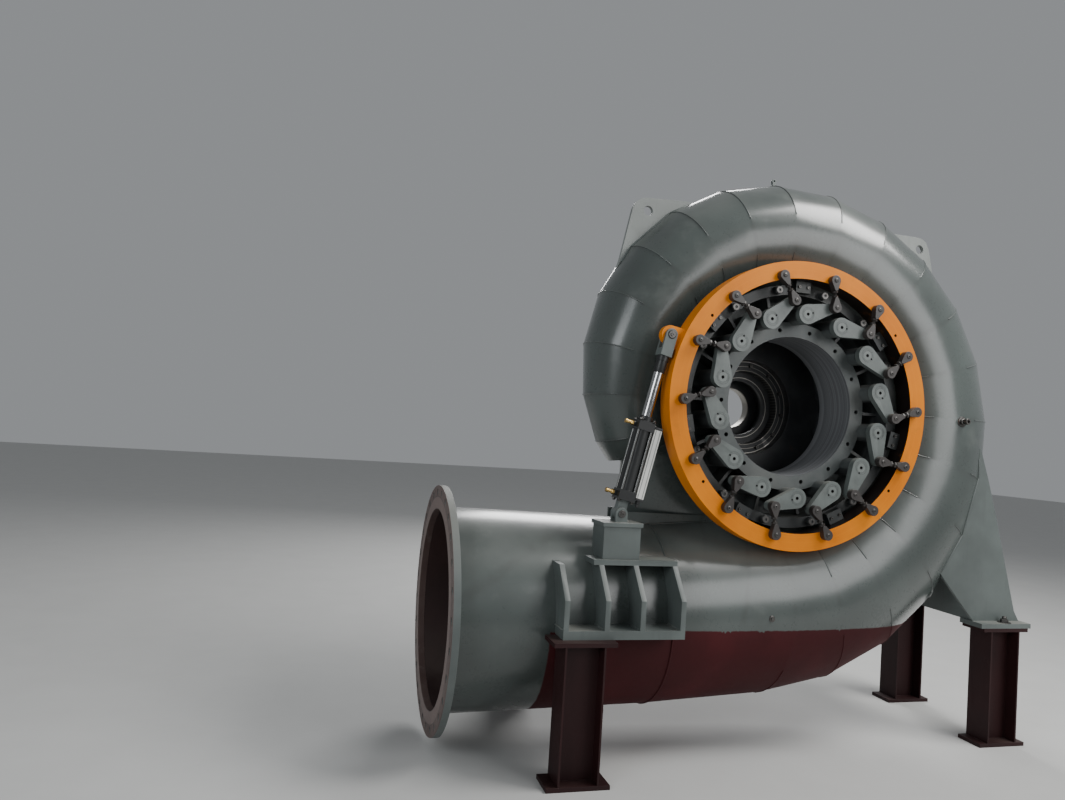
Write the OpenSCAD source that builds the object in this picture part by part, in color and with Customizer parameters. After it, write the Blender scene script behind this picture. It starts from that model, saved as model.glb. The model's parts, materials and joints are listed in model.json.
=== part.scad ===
/* [Distributor] */
// Number of guide vanes, levers and links
gate_count = 14; // [10:1:16]
// Radius of the guide vane pivots about the turbine axis
gate_r = 477.6; // [470:1:490]
// Height of the water passage between the covers
passage_h = 160; // [140:1:170]
// Distance from the draft tube flange face to the middle of the water passage
mid_y = 351; // [340:1:370]
// Running gap between a guide vane and each cover
vane_gap = 0.6; // [0.4:0.1:1.5]
// Chord of a guide vane
vane_chord = 206; // [190:1:210]
// Greatest thickness of a guide vane
vane_t = 34; // [26:1:38]
// Angle between a closed vane and the tangent
vane_set = 9; // [8:0.5:12]
// Radius of a guide vane stem
stem_r = 30; // [24:1:32]
// Radial running clearance of the stems
stem_clear = 0.1; // [0.05:0.01:0.3]

/* [Levers and links] */
// Length of a lever between its stem and its pin
lever_l = 152; // [140:1:156]
// Radius of a lever's round end
lever_r = 52; // [46:1:54]
// Radius of a lever's tip
lever_tip_r = 25; // [24:0.5:28]
// Thickness of a lever
lever_t = 35; // [25:1:38]
// Radius of the puller hole in the end of a stem
puller_hole_r = 8; // [6:0.5:10]
// Radius of the dowel hole between a stem and its lever
dowel_hole_r = 4.5; // [3:0.5:6]
// Angle of a lever from the outward radius, clockwise
lever_set = 72.6; // [70:0.1:75]
// Radius of a link head
link_head_r = 25; // [22:0.5:27]
// Thickness of a link head
link_t = 34; // [24:1:36]
// Radius of the threaded bar of a link
link_bar_r = 9; // [7:0.5:11]
// Radius of the link pins
pin_r = 10; // [8:0.5:11]
// Play of a link pin in its lever, which the open pivot needs
pin_play = 7.2; // [7:0.1:8]

/* [Regulating ring] */
// Inner radius of the ring
ring_in_r = 659; // [655:1:665]
// Width of the ring from its inner to its outer radius
ring_w = 91; // [88:1:100]
// Depth of the ring
ring_d = 106; // [80:1:107]
// Thickness of the ring's front plate
ring_plate_t = 40; // [25:1:50]
// Thickness of the ring's rims
ring_rim_t = 22; // [14:1:30]
// Distance of the ring's front face ahead of the draft tube flange face
ring_y = 114; // [110:1:120]
// Distance of the link pins from the ring's inner edge
ring_pin_in = 18.6; // [17:0.1:22]
// Angle of the first link pin on the ring, clockwise from the top
ring_pin_a = -13.92; // [-14.2:0.01:-13.6]
// Angle of the first guide vane pivot, clockwise from the top
gate_a = -25.04; // [-25.3:0.01:-24.8]

/* [Servomotor] */
// Distance of the rod pin outside the ring's outer radius
rod_pin_out = 54.8; // [52:0.1:60]
// Angle of the rod pin, clockwise from the top
rod_pin_a = -67.96; // [-69:0.01:-67]
// Stroke of the rod
rod_travel = 170; // [165:1:180]
// Base pin, to the left of the axis
base_pin_x = -958; // [-965:1:-950]
// Base pin, below the axis
base_pin_z = -592; // [-600:1:-580]
// Plane of the servomotor, ahead of the draft tube flange face
servo_y = 60; // [50:1:66]
// Radius of the barrel
barrel_r = 40; // [34:1:44]
// Length of the barrel with its heads
barrel_l = 400; // [380:1:420]
// Radius of the rod
rod_r = 19; // [14:1:22]
// Radius of the servomotor pins
servo_pin_r = 16; // [12:1:18]
// Play of the rod pin in the ring's lug, which the open pivot needs
servo_pin_play = 3.4; // [3.2:0.1:4]
// Thickness of the ring's lug
lug_t = 36; // [26:1:40]
// Thickness of a fork cheek
fork_t = 16; // [12:1:20]

/* [Covers] */
// Radius of the bore that faces the draft tube
throat_r = 368; // [360:1:372]
// Wall of the throat tube
throat_wall = 26; // [20:1:27]
// Outer radius of the draft tube flange
draft_flange_r = 446; // [440:1:450]
// Thickness of the draft tube flange
draft_flange_t = 36; // [25:1:45]
// Radius of the draft tube flange's hole circle
draft_pcd_r = 406.4; // [404:0.1:408]
// Radius of the draft tube flange's holes
draft_hole_r = 11; // [9:0.5:12]
// Outer radius of the stay ring
stay_r = 612; // [608:1:618]
// Inner radius of the stay ring
stay_in_r = 560; // [555:1:565]
// Thickness of a stay ring plate
stay_t = 34; // [25:1:40]
// Number of stay vanes
stay_count = 14; // [8:1:16]
// Thickness of a cover plate
cover_t = 40; // [30:1:45]
// Outer radius of a guide vane bearing
boss_r = 48; // [44:1:50]
// Front end of the bearings, ahead of the draft tube flange face
boss_y = 66; // [55:1:70]
// Radius of the first step inside the back cover
hub_bore_r = 215; // [205:1:225]
// Radius of the shaft bore
shaft_bore_r = 119; // [110:1:125]
// Length of the shaft bore
shaft_bore_l = 60; // [50:1:80]
// Length of the seal chamber ahead of the shaft bore
seal_bore_l = 80; // [60:1:90]
// Length of the back cover's hub behind its plate
hub_l = 195; // [180:1:210]

/* [Spiral casing] */
// Angle covered by one gore
gore_a = 15; // [15:15:15]
// Section radius at the bottom, where the spiral begins
spiral_r = 490; // [480:1:495]
// Angle at which the spiral would come to nothing, clockwise from the top
nose_a = -158; // [-160:1:-156]
// Half width of the casing's open inner side
mouth_h = 105; // [100:1:110]
// Outer radius of the rounded end of the spiral, at 112 degrees from the top
tail_end_r = 940; // [920:1:955]
// Straight outer wall below the spiral's end, to the left of the turbine axis
tail_wall_x = 800; // [790:1:830]
// Plate thickness of the casing
shell_t = 14; // [10:1:20]

/* [Inlet] */
// Outer radius of the inlet pipe at its flange
pipe_r = 508; // [504:1:512]
// Outer radius of the inlet pipe at the casing
joint_r = 484; // [480:1:490]
// Pipe axis below the turbine axis
pipe_z = 1142; // [1135:1:1150]
// Inlet flange face, to the left of the turbine axis
inlet_x = 1780; // [1760:1:1800]
// Joint between the pipe and the casing, to the left of the turbine axis
joint_x = 670; // [665:1:674]
// Radius of the holes in the lifting plates
lift_hole_r = 27; // [22:1:30]
// Outer radius of the inlet flange
flange_r = 615; // [612:1:620]
// Thickness of the inlet flange
flange_t = 36; // [30:1:44]
// Radius of the inlet flange's hole circle
flange_pcd_r = 580; // [578:1:582]
// Number of holes in the inlet flange
flange_holes = 28; // [20:4:32]
// Radius of the holes in the inlet flange
flange_hole_r = 18; // [16:0.5:19]

/* [Supports] */
// Floor below the turbine axis
floor_z = 1800; // [1790:1:1850]
// Height at which the casing's feet rest on the stands, below the turbine axis
seat_z = 1150; // [1145:1:1155]
// Width of a stand's head and base plates
stand_plate_w = 300; // [280:1:310]
// Thickness of a stand's head and base plates
stand_plate_t = 20; // [15:1:25]
// Depth of a stand's plates
stand_plate_d = 156; // [152:1:170]
// Height of the stands' beam section
beam_h = 194; // [180:1:200]
// Flange width of the stands' beam section
beam_w = 150; // [140:1:152]
// Flange thickness of the beam section
beam_tf = 9; // [8:1:12]
// Web thickness of the beam section
beam_tw = 6; // [5:1:10]
// Centre of the right stands, from the turbine axis
leg_x = 1382; // [1375:1:1390]
// Centre of the left stands, left of the turbine axis
bracket_x = 1179; // [1170:1:1185]
// Distance of the right stands from the middle of the passage
leg_y = 361; // [355:1:370]
// Distance of the left stands from the middle of the passage
bracket_y = 596; // [592:1:605]

/* [Hidden] */
$fn = 64;

gate_step = 360 / gate_count;
front_face_y = mid_y - passage_h / 2;
back_face_y = mid_y + passage_h / 2;
stay_front_y = front_face_y - stay_t;
stay_back_y = back_face_y + stay_t;
cover_front_y = stay_front_y - cover_t;
cover_back_y = stay_back_y + cover_t;
hub_end_y = cover_back_y + hub_l;
cover_r = stay_r - 4;
ring_back_y = ring_d - ring_y;
ring_r = ring_in_r + ring_w;
ring_pin_r = ring_in_r + ring_pin_in;
rim_gap = 19;
rim_w = 52;
rim_out_r = ring_in_r - rim_gap;
rim_in_r = rim_out_r - rim_w;
rim_front_y = -20;
rim_back_y = 150;
rim_plate_t = 20;
neck_w = 20;
guide_gap = 0.4;
guide_front_y = -56;
lever_face_y = -ring_y + 3;
link_face_y = -ring_y - 1;
cover_bolt_r = (rim_in_r + rim_out_r) / 2;
cover_bolt_head_r = 22;
cover_bolt_h = 28;
rib_t = 16;
rib_front_y = 70;
steel_grey = [0.43, 0.46, 0.45];
dark_grey = [0.24, 0.25, 0.26];
ring_orange = [0.87, 0.56, 0.2];
primer_red = [0.3, 0.12, 0.12];
stand_brown = [0.2, 0.14, 0.14];

// A point at radius r and angle a, clockwise from the top as seen from the front
function polar(r, a) = [r * sin(a), r * cos(a)];

// A cylinder along +Y that starts at y0
module y_cyl(r, h, y0 = 0) {
    translate([0, y0, 0]) rotate([-90, 0, 0]) cylinder(r = r, h = h);
}

// A ring about the Y axis
module y_ring(r_out, r_in, h, y0) {
    difference() {
        y_cyl(r_out, h, y0);
        y_cyl(r_in, h + 2, y0 - 1);
    }
}

// A flat plate drawn in X and Z, from y0 to y0 + h
module xz_plate(h, y0) {
    translate([0, y0 + h, 0]) rotate([90, 0, 0]) linear_extrude(h) children();
}

// A flat plate drawn in Y and Z, from x0 to x0 + h
module yz_plate(h, x0) {
    translate([x0, 0, 0]) rotate([90, 0, 90]) linear_extrude(h) children();
}

// Moves what stands at the origin to radius r and angle a
module at_polar(r, a) {
    p = polar(r, a);
    translate([p[0], 0, p[1]]) children();
}

// Two circles joined by their tangents, the second one at distance d along x
module pear(r1, r2, d) {
    b = acos((r1 - r2) / d);
    circle(r1);
    translate([d, 0]) circle(r2);
    p = r1 - 0.2;
    q = r2 - 0.2;
    polygon([[p * cos(b), p * sin(b)], [p * cos(b), -p * sin(b)],
             [d + q * cos(b), -q * sin(b)], [d + q * cos(b), q * sin(b)]]);
}

// Casing sections. Each section has an inner point, an outer point and a half depth.
section_n = 36;
nose_h = 112;
function section_r(a) = spiral_r * sqrt((a - nose_a) / (180 - nose_a));
lip_r = (stay_r + 0.4) / cos(gore_a / 2);
function spiral_section(a) =
    let (r = section_r(a), reach = r + sqrt(r * r - mouth_h * mouth_h))
    [polar(lip_r, a), polar(lip_r + reach, a), r];
function inlet_section(x) =
    let (f = x / joint_x,
         r = (1 - f) * spiral_r + f * joint_r,
         first = spiral_section(180),
         rise = sqrt(r * r - mouth_h * mouth_h),
         z = (1 - f) * (first[1][1] + spiral_r) + f * -pipe_z)
    [[-x, z + rise], [-x, z - r], r];
tail_x = 60;
tail_sections = [
    [polar(lip_r, -112), polar(tail_end_r, -112), 160],
    [polar(lip_r, -117), [-tail_wall_x, -345], nose_h],
    [polar(lip_r, -126), [-tail_wall_x, -425], nose_h],
    [polar(lip_r, -135), [-tail_wall_x, -500], nose_h],
    [polar(lip_r, -146), [-tail_wall_x, -558], nose_h],
    [polar(lip_r, -157), [-tail_wall_x, -605], nose_h],
    [polar(lip_r, -166), [-tail_wall_x, -630], nose_h],
    [[-tail_x, 2 - lip_r], [-tail_wall_x, -652], nose_h]];
tail_start_a = -105;
sections = concat(
    [for (i = [0 : 3]) inlet_section(joint_x * (3 - i) / 3)],
    [for (a = [180 - gore_a : -gore_a : tail_start_a]) spiral_section(a)],
    tail_sections);

// The points of one section, t thinner than its outer face
function section_points(s, t) =
    let (d = s[1] - s[0], reach = norm(d), u = d / reach,
         hd = s[2],
         k = sqrt(1 - pow(mouth_h / hd, 2)),
         a = reach / (1 + k),
         c = s[1] - u * a,
         a0 = 180 - asin(mouth_h / hd))
    [for (j = [0 : section_n])
        let (v = -a0 + 2 * a0 * j / section_n,
             p = c + u * (a - t) * cos(v))
        [p[0], mid_y + (hd - t) * sin(v), p[1]]];

// The casing's plates from one section to another
module casing_part(first, last) {
    part = [for (i = [first : last]) sections[i]];
    rows = len(part);
    m = section_n + 1;
    outer = [for (s = part) each section_points(s, 0)];
    inner = [for (s = part) each section_points(s, shell_t)];
    n = len(outer);
    skin = [for (i = [0 : rows - 2], j = [0 : m - 2])
        [i * m + j, i * m + j + 1, (i + 1) * m + j + 1, (i + 1) * m + j]];
    lining = [for (f = skin) [for (q = [3 : -1 : 0]) f[q] + n]];
    lips = [for (i = [0 : rows - 2], e = [0, m - 1])
        let (p = i * m + e, q = (i + 1) * m + e)
        e == 0 ? [p, q, q + n, p + n] : [q, p, p + n, q + n]];
    ends = [for (i = [0, rows - 1], j = [0 : m - 2])
        let (p = i * m + j)
        i == 0 ? [p + 1, p, p + n, p + 1 + n] : [p, p + 1, p + 1 + n, p + n]];
    color(steel_grey) polyhedron(concat(outer, inner), concat(skin, lining, lips, ends));
}

joint_150 = 5;
joint_60 = 11;
joint_m30 = 17;
module casing_bottom() { casing_part(0, joint_150); }

module casing_right() { casing_part(joint_150, joint_60); }

module casing_top() { casing_part(joint_60, joint_m30); }

module casing_left() { casing_part(joint_m30, len(sections) - 1); }

// The cone of the inlet pipe from its flange to the casing, larger by grow
module pipe_cone(grow) {
    translate([-inlet_x + flange_t, mid_y, -pipe_z]) rotate([0, 90, 0])
        cylinder(r1 = pipe_r + grow, r2 = joint_r + grow, h = inlet_x - flange_t - joint_x, $fn = 160);
}

module inlet_pipe() {
    color(steel_grey) difference() {
        pipe_cone(0);
        pipe_cone(-shell_t);
    }
}

module inlet_flange() {
    color(steel_grey) translate([-inlet_x, mid_y, -pipe_z]) rotate([0, 90, 0])
        difference() {
            cylinder(r = flange_r, h = flange_t);
            translate([0, 0, -1]) cylinder(r = pipe_r - shell_t, h = flange_t + 2);
            for (k = [0 : flange_holes - 1])
                rotate([0, 0, (k + 0.5) * 360 / flange_holes])
                    translate([flange_pcd_r, 0, -1]) cylinder(r = flange_hole_r, h = flange_t + 2);
        }
}

module stay_ring() {
    color(dark_grey) {
        y_ring(stay_r, stay_in_r, stay_t, stay_front_y);
        y_ring(stay_r, stay_in_r, stay_t, back_face_y);
        for (k = [0 : stay_count - 1])
            rotate([0, k * 360 / stay_count, 0])
                xz_plate(passage_h + 2, front_face_y - 1)
                    translate([0, (stay_r + stay_in_r) / 2]) rotate(24) square([70, 16], center = true);
    }
}

module front_cover() {
    color(dark_grey) difference() {
        union() {
            y_cyl(cover_r, cover_t, cover_front_y);
            y_cyl(stay_in_r - 0.3, stay_t + 1, stay_front_y - 1);
            y_cyl(throat_r + throat_wall, front_face_y, 0);
            y_cyl(draft_flange_r, draft_flange_t, 0);
            y_ring(rim_out_r, rim_in_r, rim_back_y - rim_front_y, rim_front_y);
            y_ring(rim_out_r, cover_r - neck_w, rim_plate_t, rim_back_y - rim_plate_t);
            y_ring(cover_r, cover_r - neck_w, cover_front_y - rim_back_y + 2, rim_back_y - 1);
            for (k = [0 : gate_count - 1]) at_polar(gate_r, gate_a + k * gate_step)
                y_cyl(boss_r, cover_front_y + boss_y + 1, -boss_y);
            for (k = [0 : gate_count - 1]) at_polar(cover_bolt_r, gate_a + (k + 0.5) * gate_step)
                y_cyl(cover_bolt_head_r, cover_bolt_h + 1, rim_front_y - cover_bolt_h);
            for (k = [0 : gate_count - 1]) rotate([0, gate_a + (k + 0.5) * gate_step, 0])
                translate([-rib_t / 2, rib_front_y, throat_r + throat_wall - 2])
                    cube([rib_t, cover_front_y - rib_front_y + 1, rim_in_r - throat_r - throat_wall + 4]);
        }
        y_cyl(throat_r, front_face_y + 2, -1);
        for (k = [0 : gate_count - 1]) {
            at_polar(gate_r, gate_a + k * gate_step)
                y_cyl(stem_r + stem_clear, front_face_y + boss_y + 2, -boss_y - 1);
            at_polar(draft_pcd_r, gate_a + (k + 0.5) * gate_step)
                y_cyl(draft_hole_r, draft_flange_t + 2, -1);
        }
    }
}

groove_w = 1.5;
trunnion_r = 22;
trunnion_l = 60;
module back_cover() {
    hub_out_r = hub_bore_r + 45;
    color(dark_grey) difference() {
        union() {
            y_cyl(stay_in_r - 0.3, stay_t + 1, back_face_y);
            y_cyl(cover_r, cover_t, stay_back_y);
            y_cyl(hub_out_r, hub_l + 1, cover_back_y - 1);
            for (k = [0 : gate_count - 1]) at_polar(gate_r, gate_a + k * gate_step)
                y_cyl(trunnion_r + 18, 30, cover_back_y - 1);
        }
        y_cyl(hub_bore_r + 60, 46, back_face_y - 1);
        y_cyl(hub_bore_r, hub_end_y - shaft_bore_l - seal_bore_l - back_face_y, back_face_y);
        y_cyl(hub_bore_r - 40, hub_end_y - shaft_bore_l - back_face_y, back_face_y);
        y_cyl(shaft_bore_r, hub_end_y - back_face_y + 1, back_face_y);
        for (k = [0 : gate_count - 1]) at_polar(gate_r, gate_a + k * gate_step)
            y_cyl(trunnion_r + stem_clear, trunnion_l + 4, back_face_y - 1);
    }
}

seal_w = 26;
module shaft_seal_ring() {
    y0 = hub_end_y - shaft_bore_l - seal_bore_l;
    color("silver") y_ring(hub_bore_r, hub_bore_r - 40 - 15, seal_w, y0 - seal_w);
}

ring_hole_r = ring_pin_r + 6.4;
ring_lift_hole_r = 7;
lug_end_r = 48;
lug_foot_r = 66;
rod_pin = polar(ring_r + rod_pin_out, rod_pin_a);
guide_count = 7;
guide_w = 90;
module ring_guides() {
    color(steel_grey) for (k = [0 : guide_count - 1]) rotate([0, gate_a + (2 * k + 1) * gate_step, 0])
        intersection() {
            y_cyl(ring_in_r - guide_gap, rim_front_y - guide_front_y, guide_front_y);
            translate([-guide_w / 2, guide_front_y, rim_in_r + 8]) cube([guide_w, 60, rim_w + 30]);
        }
}

module regulating_ring() {
    color(ring_orange) difference() {
        union() {
            y_ring(ring_r, ring_in_r, ring_plate_t, -ring_y);
            y_ring(ring_r, ring_r - ring_rim_t, ring_d, -ring_y);
            y_ring(ring_in_r + ring_rim_t, ring_in_r, ring_d, -ring_y);
            difference() {
                xz_plate(lug_t, -servo_y - lug_t / 2)
                    rotate(90 - rod_pin_a) translate([ring_r + rod_pin_out, 0]) mirror([1, 0])
                        pear(lug_end_r, lug_foot_r, rod_pin_out + 35.2);
                y_cyl(ring_r - ring_rim_t / 2, ring_d, -ring_y);
            }
        }
        for (k = [0 : gate_count - 1]) at_polar(ring_pin_r, ring_pin_a + k * gate_step)
            y_cyl(pin_r + stem_clear, ring_plate_t + 2, -ring_y - 1);
        for (a = [-127.4, -52.6, 52.6, 127.4]) at_polar(ring_hole_r, a)
            y_cyl(ring_lift_hole_r, 31, -ring_y - 1);
        translate([rod_pin[0], 0, rod_pin[1]])
            y_cyl(servo_pin_r + servo_pin_play, lug_t + 2, -servo_y - lug_t / 2 - 1);
    }
}

// Half thickness of the vane at a share f of its chord, for a greatest thickness of 1
function vane_half(f) = 5 * 0.5 * 2 * (0.2969 * sqrt(f) - 0.126 * f - 0.3516 * f * f
    + 0.2843 * pow(f, 3) - 0.1036 * pow(f, 4)) ;
vane_n = 14;
vane_pivot = 0.47;
vane_edge = 2;
module vane_outline() {
    upper = [for (i = [0 : vane_n])
        let (f = pow(i / vane_n, 1.6))
        [vane_chord * (f - vane_pivot), vane_t * vane_half(f) + vane_edge * f]];
    lower = [for (i = [vane_n : -1 : 1]) [upper[i][0], -upper[i][1]]];
    polygon(concat(upper, lower));
}

module guide_vane(k) {
    a = gate_a + (k - 1) * gate_step;
    p = polar(gate_r, a);
    lever_a = a + lever_set;
    color(steel_grey) difference() {
        union() {
            xz_plate(passage_h - 2 * vane_gap, front_face_y + vane_gap)
                translate(p) rotate(180 - a + vane_set) vane_outline();
            at_polar(gate_r, a) y_cyl(stem_r, front_face_y - lever_face_y + 2, lever_face_y);
            at_polar(gate_r, a) y_cyl(trunnion_r, trunnion_l + 1, back_face_y - vane_gap - 1);
            xz_plate(lever_t, lever_face_y)
                translate(p) rotate(90 - lever_a) pear(lever_r, lever_tip_r, lever_l);
        }
        translate([p[0] + lever_l * sin(lever_a), 0, p[1] + lever_l * cos(lever_a)])
            y_cyl(pin_r + pin_play, lever_t + 2, lever_face_y - 1);
        at_polar(gate_r, a) {
            y_cyl(puller_hole_r, 31, lever_face_y - 1);
            y_ring(stem_r + groove_w, stem_r, groove_w + 1, lever_face_y - 1);
        }
        translate([p[0] + stem_r * sin(lever_a), 0, p[1] + stem_r * cos(lever_a)])
            y_cyl(dowel_hole_r, 21, lever_face_y - 1);
    }
}

module link(k) {
    a = ring_pin_a + (k - 1) * gate_step;
    p = polar(ring_pin_r, a);
    gate = gate_a + (k - 1) * gate_step;
    q = polar(gate_r, gate) + polar(lever_l, gate + lever_set);
    link_l = norm(q - p);
    dir = atan2(q[0] - p[0], q[1] - p[1]);
    mid = link_face_y - link_t / 2;
    color([0.27, 0.24, 0.23]) {
        difference() {
            union() {
                translate([p[0], mid, p[1]]) rotate([0, dir, 0]) {
                    link_head();
                    translate([0, 0, link_l]) rotate([0, 180, 0]) link_head();
                    cylinder(r = link_bar_r, h = link_l);
                    for (z = [link_neck_l + 1, link_l - link_neck_l - 1 - link_nut_h])
                        translate([0, 0, z]) cylinder(r = link_nut_r, h = link_nut_h, $fn = 6);
                }
                translate([p[0], 0, p[1]]) y_cyl(pin_r, link_t + ring_plate_t, link_face_y - link_t + 1);
                translate([q[0], 0, q[1]]) y_cyl(pin_r, link_t + lever_t, link_face_y - link_t + 1);
            }
            for (c = [p, q]) translate([c[0], 0, c[1]])
                y_ring(link_seat_r, pin_r, link_seat_d + 1, link_face_y - link_t - 1);
        }
    }
}

// One end of a link: a round head and a neck that narrows towards the threaded bar along +Z
module link_head() {
    y_cyl(link_head_r, link_t, -link_t / 2);
    xz_plate(link_t - 8, 4 - link_t / 2) polygon([
        [-link_head_r * 0.82, link_head_r * 0.5], [link_head_r * 0.82, link_head_r * 0.5],
        [link_nut_r, link_neck_l], [-link_nut_r, link_neck_l]]);
}

servo_dir = rod_pin - [base_pin_x, base_pin_z];
servo_l = norm(servo_dir);
servo_a = atan2(servo_dir[0], servo_dir[1]);
link_neck_l = 46;
link_nut_r = 14;
link_nut_h = 9;
link_seat_r = 15;
link_seat_d = 5;
barrel_from = 68;
bore_from = barrel_from + 30;
// Places children with the base pin at the origin and the rod along +Z
module at_servo() {
    translate([base_pin_x, -servo_y, base_pin_z]) rotate([0, servo_a, 0]) children();
}

block_w = 86;
block_l = 48;
tie_r = 6;
tie_at = 34;
port_r = 7;
port_l = 24;
module servo_barrel() {
    gland_from = barrel_from + barrel_l - block_l;
    color(dark_grey) at_servo() difference() {
        union() {
            translate([0, 0, barrel_from]) cylinder(r = barrel_r, h = barrel_l);
            translate([0, 0, barrel_from + barrel_l - 1]) cylinder(r = barrel_r - 8, h = 15);
            for (z = [barrel_from, gland_from])
                translate([-block_w / 2, -block_w / 2, z]) cube([block_w, block_w, block_l]);
            for (x = [-1, 1], y = [-1, 1])
                translate([x * tie_at, y * tie_at, barrel_from + 1]) cylinder(r = tie_r, h = barrel_l - 2);
            for (z = [barrel_from, gland_from])
                translate([1 - block_w / 2, 0, z + block_l / 2]) rotate([0, -90, 0]) cylinder(r = 13, h = 15);
            y_cyl(30, 40, -20);
            translate([-24, -20, 0]) cube([48, 40, barrel_from + 4]);
        }
        translate([0, 0, bore_from]) cylinder(r = rod_r + 0.2, h = barrel_l);
        for (z = [barrel_from, gland_from])
            translate([-block_w / 2 - 15, 0, z + block_l / 2]) rotate([0, 90, 0]) cylinder(r = port_r, h = port_l);
        y_cyl(servo_pin_r + 0.1, 42, -21);
    }
}

sensor_w = 40;
sensor_d = 28;
sensor_l = barrel_l - 28;
module position_sensor() {
    z0 = barrel_from + (barrel_l - sensor_l) / 2;
    color("white") at_servo() {
        translate([block_w / 2 + 6, -34, z0]) cube([sensor_w, sensor_d, sensor_l]);
        for (z = [barrel_from + 10, barrel_from + barrel_l - 26])
            translate([block_w / 2 + seat_gap, -30, z]) cube([8, 20, 16]);
    }
}

fork_w = 62;
fork_gap = 1;
fork_l = 74;
fork_root = 38;
module servo_rod() {
    fork_y = lug_t / 2 + fork_gap;
    color("silver") at_servo() {
        rod_from = bore_from + rod_travel + 5;
        translate([0, 0, rod_from]) cylinder(r = rod_r, h = servo_l - fork_l - 5 - rod_from);
        translate([-fork_w / 2, -fork_y - fork_t, servo_l - fork_l - fork_root])
            cube([fork_w, 2 * fork_y + 2 * fork_t, fork_root]);
        for (s = [-1, 1]) translate([0, s * (fork_y + fork_t / 2) - fork_t / 2, servo_l]) {
            translate([-fork_w / 2, 0, -fork_l - 2]) cube([fork_w, fork_t, fork_l + 2]);
            y_cyl(fork_w / 2, fork_t);
        }
        translate([0, 0, servo_l]) y_cyl(servo_pin_r, 2 * fork_y + 2 * fork_t - 2, -fork_y - fork_t + 1);
    }
}

bracket_w = 600;
bracket_left = bracket_x + 96;
bracket_front = 270;
bracket_t = 40;
gusset_t = 25;
top_plate_z = -806;
top_plate_t = 25;
top_plate_front = 150;
gusset_x = [0, 197, 372, bracket_w - gusset_t];
seat_gap = 0.3;
module bracket(front) {
    rib_foot_z = -seat_z + bracket_t;
    difference() {
        translate([-bracket_left, 0, 0]) {
            translate([0, -front, -seat_z]) cube([bracket_w, front + 40, bracket_t]);
            for (x = gusset_x) yz_plate(gusset_t, x) polygon([
                [-front, rib_foot_z - 1], [-front, -974], [-top_plate_front, top_plate_z - top_plate_t + 1],
                [40, top_plate_z - top_plate_t + 1], [40, rib_foot_z - 1]]);
            translate([170, -top_plate_front, top_plate_z - top_plate_t])
                cube([bracket_w - 170, top_plate_front + 40, top_plate_t]);
        }
        pipe_cone(seat_gap);
    }
}

module servo_bracket() { color(steel_grey) bracket(bracket_front); }

module rear_bracket() {
    color(steel_grey) translate([0, 2 * mid_y, 0]) mirror([0, 1, 0]) bracket(bracket_front);
}

pedestal_x = -1056;
pedestal_w = 190;
pedestal_d = 156;
pedestal_top = -632;
pedestal_t = 12;
module servo_pedestal() {
    h = pedestal_top - top_plate_z;
    y0 = -servo_y - pedestal_d / 2 + 10;
    color(steel_grey) difference() {
        union() {
            translate([pedestal_x, y0, top_plate_z]) cube([pedestal_w, pedestal_d, h - 20]);
            translate([pedestal_x - 8, y0 - 8, pedestal_top - 20]) cube([pedestal_w + 16, pedestal_d + 16, 20]);
            for (s = [-1, 1]) translate([base_pin_x, -servo_y + s * 31 - 8, 0]) {
                translate([-30, 0, pedestal_top - 1]) cube([60, 16, base_pin_z - pedestal_top + 1]);
                translate([0, 0, base_pin_z]) y_cyl(30, 16);
            }
            translate([base_pin_x, 0, base_pin_z]) y_cyl(servo_pin_r, 84, -servo_y - 42);
        }
        translate([pedestal_x + pedestal_t, y0 + pedestal_t, top_plate_z - 1])
            cube([pedestal_w - 2 * pedestal_t, pedestal_d, h - 19]);
        pipe_cone(seat_gap);
    }
}

module stand(x, y) {
    h = floor_z - seat_z;
    translate([x, y, -floor_z]) {
        for (z = [0, h - stand_plate_t])
            translate([-stand_plate_w / 2, -stand_plate_d / 2, z])
                cube([stand_plate_w, stand_plate_d, stand_plate_t]);
        for (s = [-1, 1])
            translate([s * (beam_h - beam_tf) / 2 - beam_tf / 2, -beam_w / 2, stand_plate_t - 1])
                cube([beam_tf, beam_w, h - 2 * stand_plate_t + 2]);
        translate([-beam_h / 2 + 1, -beam_tw / 2, stand_plate_t - 1])
            cube([beam_h - 2, beam_tw, h - 2 * stand_plate_t + 2]);
    }
}

module inlet_stands() {
    color(stand_brown) for (s = [-1, 1]) stand(-bracket_x, mid_y + s * bracket_y);
}

module leg_stands() {
    color(stand_brown) for (s = [-1, 1]) stand(leg_x, mid_y + s * leg_y);
}

leg_t = 16;
foot_t = 26;
foot_w = 338;
saddle_t = 16;
saddle_h = 330;
module casing_legs() {
    foot_z = -seat_z + foot_t;
    color(steel_grey) difference() {
        union() {
            for (s = [-1, 1]) {
                translate([leg_x - foot_w / 2, mid_y + s * leg_y - stand_plate_d / 2, -seat_z])
                    cube([foot_w, stand_plate_d, foot_t]);
                xz_plate(leg_t, mid_y + s * leg_y - leg_t / 2)
                    polygon([[leg_x - foot_w / 2 + 8, foot_z - 1], [leg_x + foot_w / 2 - 12, foot_z - 1],
                             [1504, -1069], [1353, -533], [1290, -330], [1229, -155], [1150, -155],
                             [800, -600], [1003, -883]]);
            }
            translate([leg_x - foot_w / 2 + 8, mid_y - leg_y, foot_z - 1])
                cube([saddle_t, 2 * leg_y, saddle_h]);
        }
        for (i = [4 : 9]) clear_gore(i);
    }
}

// The space between two sections of the casing, a little larger than its outer face
module clear_gore(i) {
    p = concat(section_points(sections[i], -seat_gap), section_points(sections[i + 1], -seat_gap));
    hull() polyhedron(p, [for (j = [0 : len(p) - 3]) [j, j + 1, j + 2]]);
}

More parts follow.
